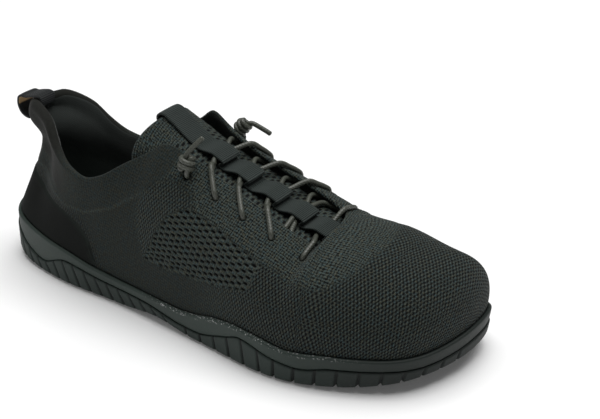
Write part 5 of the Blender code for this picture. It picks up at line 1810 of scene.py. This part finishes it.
def barrel_knot(heading, across):
    """Barrel knot round an axis: the cord runs up beside the axis, winds down round itself and comes
    up again on the other side of the axis."""
    up = np.linspace(-KNOT_REACH, CORE_SHARE * KNOT_REACH, 4)
    core = np.stack([np.full(4, -0.5 * LACE_ROOM), np.zeros(4), up], axis=-1)
    turn = np.linspace(*np.radians(WRAP_TURN), 40)
    fall = np.linspace(WRAP_SHARE * KNOT_REACH, -WRAP_SHARE * KNOT_REACH, 40)
    wraps = np.stack([KNOT_WRAP * np.cos(turn), KNOT_WRAP * np.sin(turn), fall], axis=-1)
    back = core * (-1.0, 1.0, 1.0)
    curve = np.vstack([core, wraps, back])
    return curve @ np.stack([across, np.cross(heading, across), heading])


def lace_end_path(row):
    """Out of the top lace hole, through the knot above it and on along the short tail."""
    angle = side_angle(row.side, row.foot)
    share = share_from_edge(angle, KNOT_INSET)
    centre = off_wall(angle, share, KNOT_RADIUS + GAP)
    hole, hole_share = eyelet_place(row.side, 0)
    start = np.array([off_wall(hole, hole_share, lift) for lift in HOLE_START])
    tail = np.asarray(row.direction) / np.linalg.norm(row.direction)
    heading = centre - start[1]
    heading = heading / np.linalg.norm(heading) + TAIL_TURN * tail
    heading /= np.linalg.norm(heading)
    outward = wall_normal(np.asarray(angle), np.asarray(share))
    across = np.cross(outward, heading)
    across /= np.linalg.norm(across)
    knot = centre + barrel_knot(heading, across)
    end = centre + tail * (KNOT_RADIUS + GAP + TAIL_LENGTH)
    bow = 0.5 * (knot[-1] + end) + TAIL_BOW * heading
    line = smooth_path(np.vstack([start, knot, bow, end]), LACE_POINTS)
    for _ in range(LACE_ROUNDS):
        line[1:-1] = 0.25 * line[:-2] + 0.5 * line[1:-1] + 0.25 * line[2:]
    return smooth_path(line, LACE_POINTS)


def make_lace_ends(sizes, braid):
    """The lace's two free ends, each with its knot outside the top lace hole."""
    for row in LACE_ENDS:
        path = lace_end_path(row)
        made = cord_piece("lace_end_" + row.label, path, sizes.lace / MM)
        dress(made, "lace", ["lace_knot_" + row.label, "lace_tail_" + row.label], braid)


# Camera: place in metres, azimuth and elevation in degrees, and lens in millimetres
CAMERA_PLACE = (0.3919, -0.5297, 0.3925)
CAMERA_ANGLES = (33.0, 27.0)
LENS = 82.38
NEAREST_SEEN = 0.01
# Soft boxes round the shoe: name, place, size in metres, power in watts
SOFT_BOXES = (
    ("top", (0.20, 0.50, 3.60), 3.4, 165.0),
    ("left", (-1.90, -0.90, 0.75), 1.2, 4.0),
)
WORLD_STRENGTH = 0.12
# Floor: half its width and its depth under the sole in metres, colour of its paper, and its own glow
FLOOR_REACH = 6.0
FLOOR_DEPTH = 0.0002
PAPER = "f7f7f7"
FLOOR_GLOW = 0.06
WHITE = (1.0, 1.0, 1.0, 1.0)


class SHOE_OT_stage(bpy.types.Operator):
    """Camera, plain pale floor and soft studio light"""

    bl_idname = "shoe.stage"
    bl_label = "Stage"

    def execute(self, context):
        scene = context.scene
        azimuth, elevation = np.radians(CAMERA_ANGLES)
        level = np.cos(elevation)
        back = Vector((np.sin(azimuth) * level, -np.cos(azimuth) * level, np.sin(elevation)))
        lens = bpy.data.cameras.new("photo_camera")
        lens.lens = LENS
        lens.clip_start = NEAREST_SEEN
        camera = bpy.data.objects.new("photo_camera", lens)
        camera.location = CAMERA_PLACE
        camera.rotation_euler = back.to_track_quat("Z", "Y").to_euler()
        scene.collection.objects.link(camera)
        scene.camera = camera
        world = bpy.data.worlds.new("soft_studio")
        world.use_nodes = True
        sky = world.node_tree.nodes["Background"]
        sky.inputs["Color"].default_value = WHITE
        sky.inputs["Strength"].default_value = WORLD_STRENGTH
        scene.world = world
        scene.view_settings.view_transform = "Standard"
        for name, place, size, power in SOFT_BOXES:
            light = bpy.data.lights.new(name, "AREA")
            light.size = size
            light.energy = power
            lamp = bpy.data.objects.new(name, light)
            lamp.location = place
            lamp.rotation_euler = Vector(place).to_track_quat("Z", "Y").to_euler()
            scene.collection.objects.link(lamp)
        mesh = bpy.data.meshes.new("floor")
        signs = ((-1.0, -1.0), (1.0, -1.0), (1.0, 1.0), (-1.0, 1.0))
        corners = [(x * FLOOR_REACH, y * FLOOR_REACH, -FLOOR_DEPTH) for x, y in signs]
        mesh.from_pydata(corners, [], [(0, 1, 2, 3)])
        floor = bpy.data.objects.new("floor", mesh)
        scene.collection.objects.link(floor)
        # Matt white paper with a little glow of its own, so that it stays plain and pale
        paper = bpy.data.materials.new("paper_backdrop_matt")
        paper.use_nodes = True
        surface = paper.node_tree.nodes["Principled BSDF"]
        surface.inputs["Base Color"].default_value = (*linear(PAPER), 1.0)
        surface.inputs["Roughness"].default_value = 0.9
        surface.inputs["Emission Color"].default_value = WHITE
        surface.inputs["Emission Strength"].default_value = FLOOR_GLOW
        mesh.materials.append(paper)
        return {"FINISHED"}


class SHOE_OT_laces(bpy.types.Operator):
    """Lace ends with their knots, and the strands through the loops"""

    bl_idname = "shoe.laces"
    bl_label = "Laces"

    def execute(self, context):
        colours, sizes = context.scene.shoe_colours, context.scene.shoe_sizes
        # Round braid: small light and dark diamonds with a soft sheen
        braid = braid_material("polyester_round_braid", colours.lace, sizes.lace)
        make_lace_ends(sizes, braid)
        make_strands(sizes, braid)
        return {"FINISHED"}


class SHOE_OT_upper(bpy.types.Operator):
    """Knit upper with its lining"""

    bl_idname = "shoe.upper"
    bl_label = "Upper"

    def execute(self, context):
        make_upper(context.scene.shoe_colours, context.scene.shoe_sizes)
        return {"FINISHED"}


class SHOE_OT_sole(bpy.types.Operator):
    """Ribbed rubber, smooth band and footbed"""

    bl_idname = "shoe.sole"
    bl_label = "Sole"

    def execute(self, context):
        colours = context.scene.shoe_colours
        make_ribbed_sole(colours)
        make_band(colours)
        make_footbed(colours)
        return {"FINISHED"}


class SHOE_OT_tongue(bpy.types.Operator):
    """Tongue sheet and the lace tape on it"""

    bl_idname = "shoe.tongue"
    bl_label = "Tongue and tape"

    def execute(self, context):
        colours, sizes = context.scene.shoe_colours, context.scene.shoe_sizes
        make_tongue(colours, sizes)
        make_tape(colours, sizes)
        return {"FINISHED"}


class SHOE_OT_heel(bpy.types.Operator):
    """Heel panel and pull tab"""

    bl_idname = "shoe.heel"
    bl_label = "Heel"

    def execute(self, context):
        colours, sizes = context.scene.shoe_colours, context.scene.shoe_sizes
        make_heel_panel(colours)
        make_pull_tab(colours, sizes)
        return {"FINISHED"}


OPERATORS = (SHOE_OT_stage, SHOE_OT_laces, SHOE_OT_upper, SHOE_OT_sole, SHOE_OT_tongue, SHOE_OT_heel)


class SHOE_PT_panel(bpy.types.Panel):
    """Lists the shoe's sizes, colours and pieces"""

    bl_label = "Barefoot sneaker"
    bl_idname = "SHOE_PT_panel"
    bl_space_type = "VIEW_3D"
    bl_region_type = "UI"
    bl_category = "Shoe"

    def draw(self, context):
        for group in (context.scene.shoe_sizes, context.scene.shoe_colours):
            for name in group.__annotations__:
                self.layout.prop(group, name)
        for operator in OPERATORS:
            self.layout.operator(operator.bl_idname)


CLASSES = (ShoeSizes, ShoeColours) + OPERATORS + (SHOE_PT_panel,)


def register():
    """Register the classes and hang the settings on the scene."""
    for cls in CLASSES:
        bpy.utils.register_class(cls)
    bpy.types.Scene.shoe_sizes = PointerProperty(type=ShoeSizes)
    bpy.types.Scene.shoe_colours = PointerProperty(type=ShoeColours)


def unregister():
    """Take the settings and classes away again."""
    del bpy.types.Scene.shoe_colours
    del bpy.types.Scene.shoe_sizes
    for cls in reversed(CLASSES):
        bpy.utils.unregister_class(cls)


def main():
    """Build the stage and every piece."""
    register()
    bpy.ops.shoe.stage()
    bpy.ops.shoe.laces()
    bpy.ops.shoe.upper()
    bpy.ops.shoe.sole()
    bpy.ops.shoe.tongue()
    bpy.ops.shoe.heel()


if __name__ == "__main__":
    main()
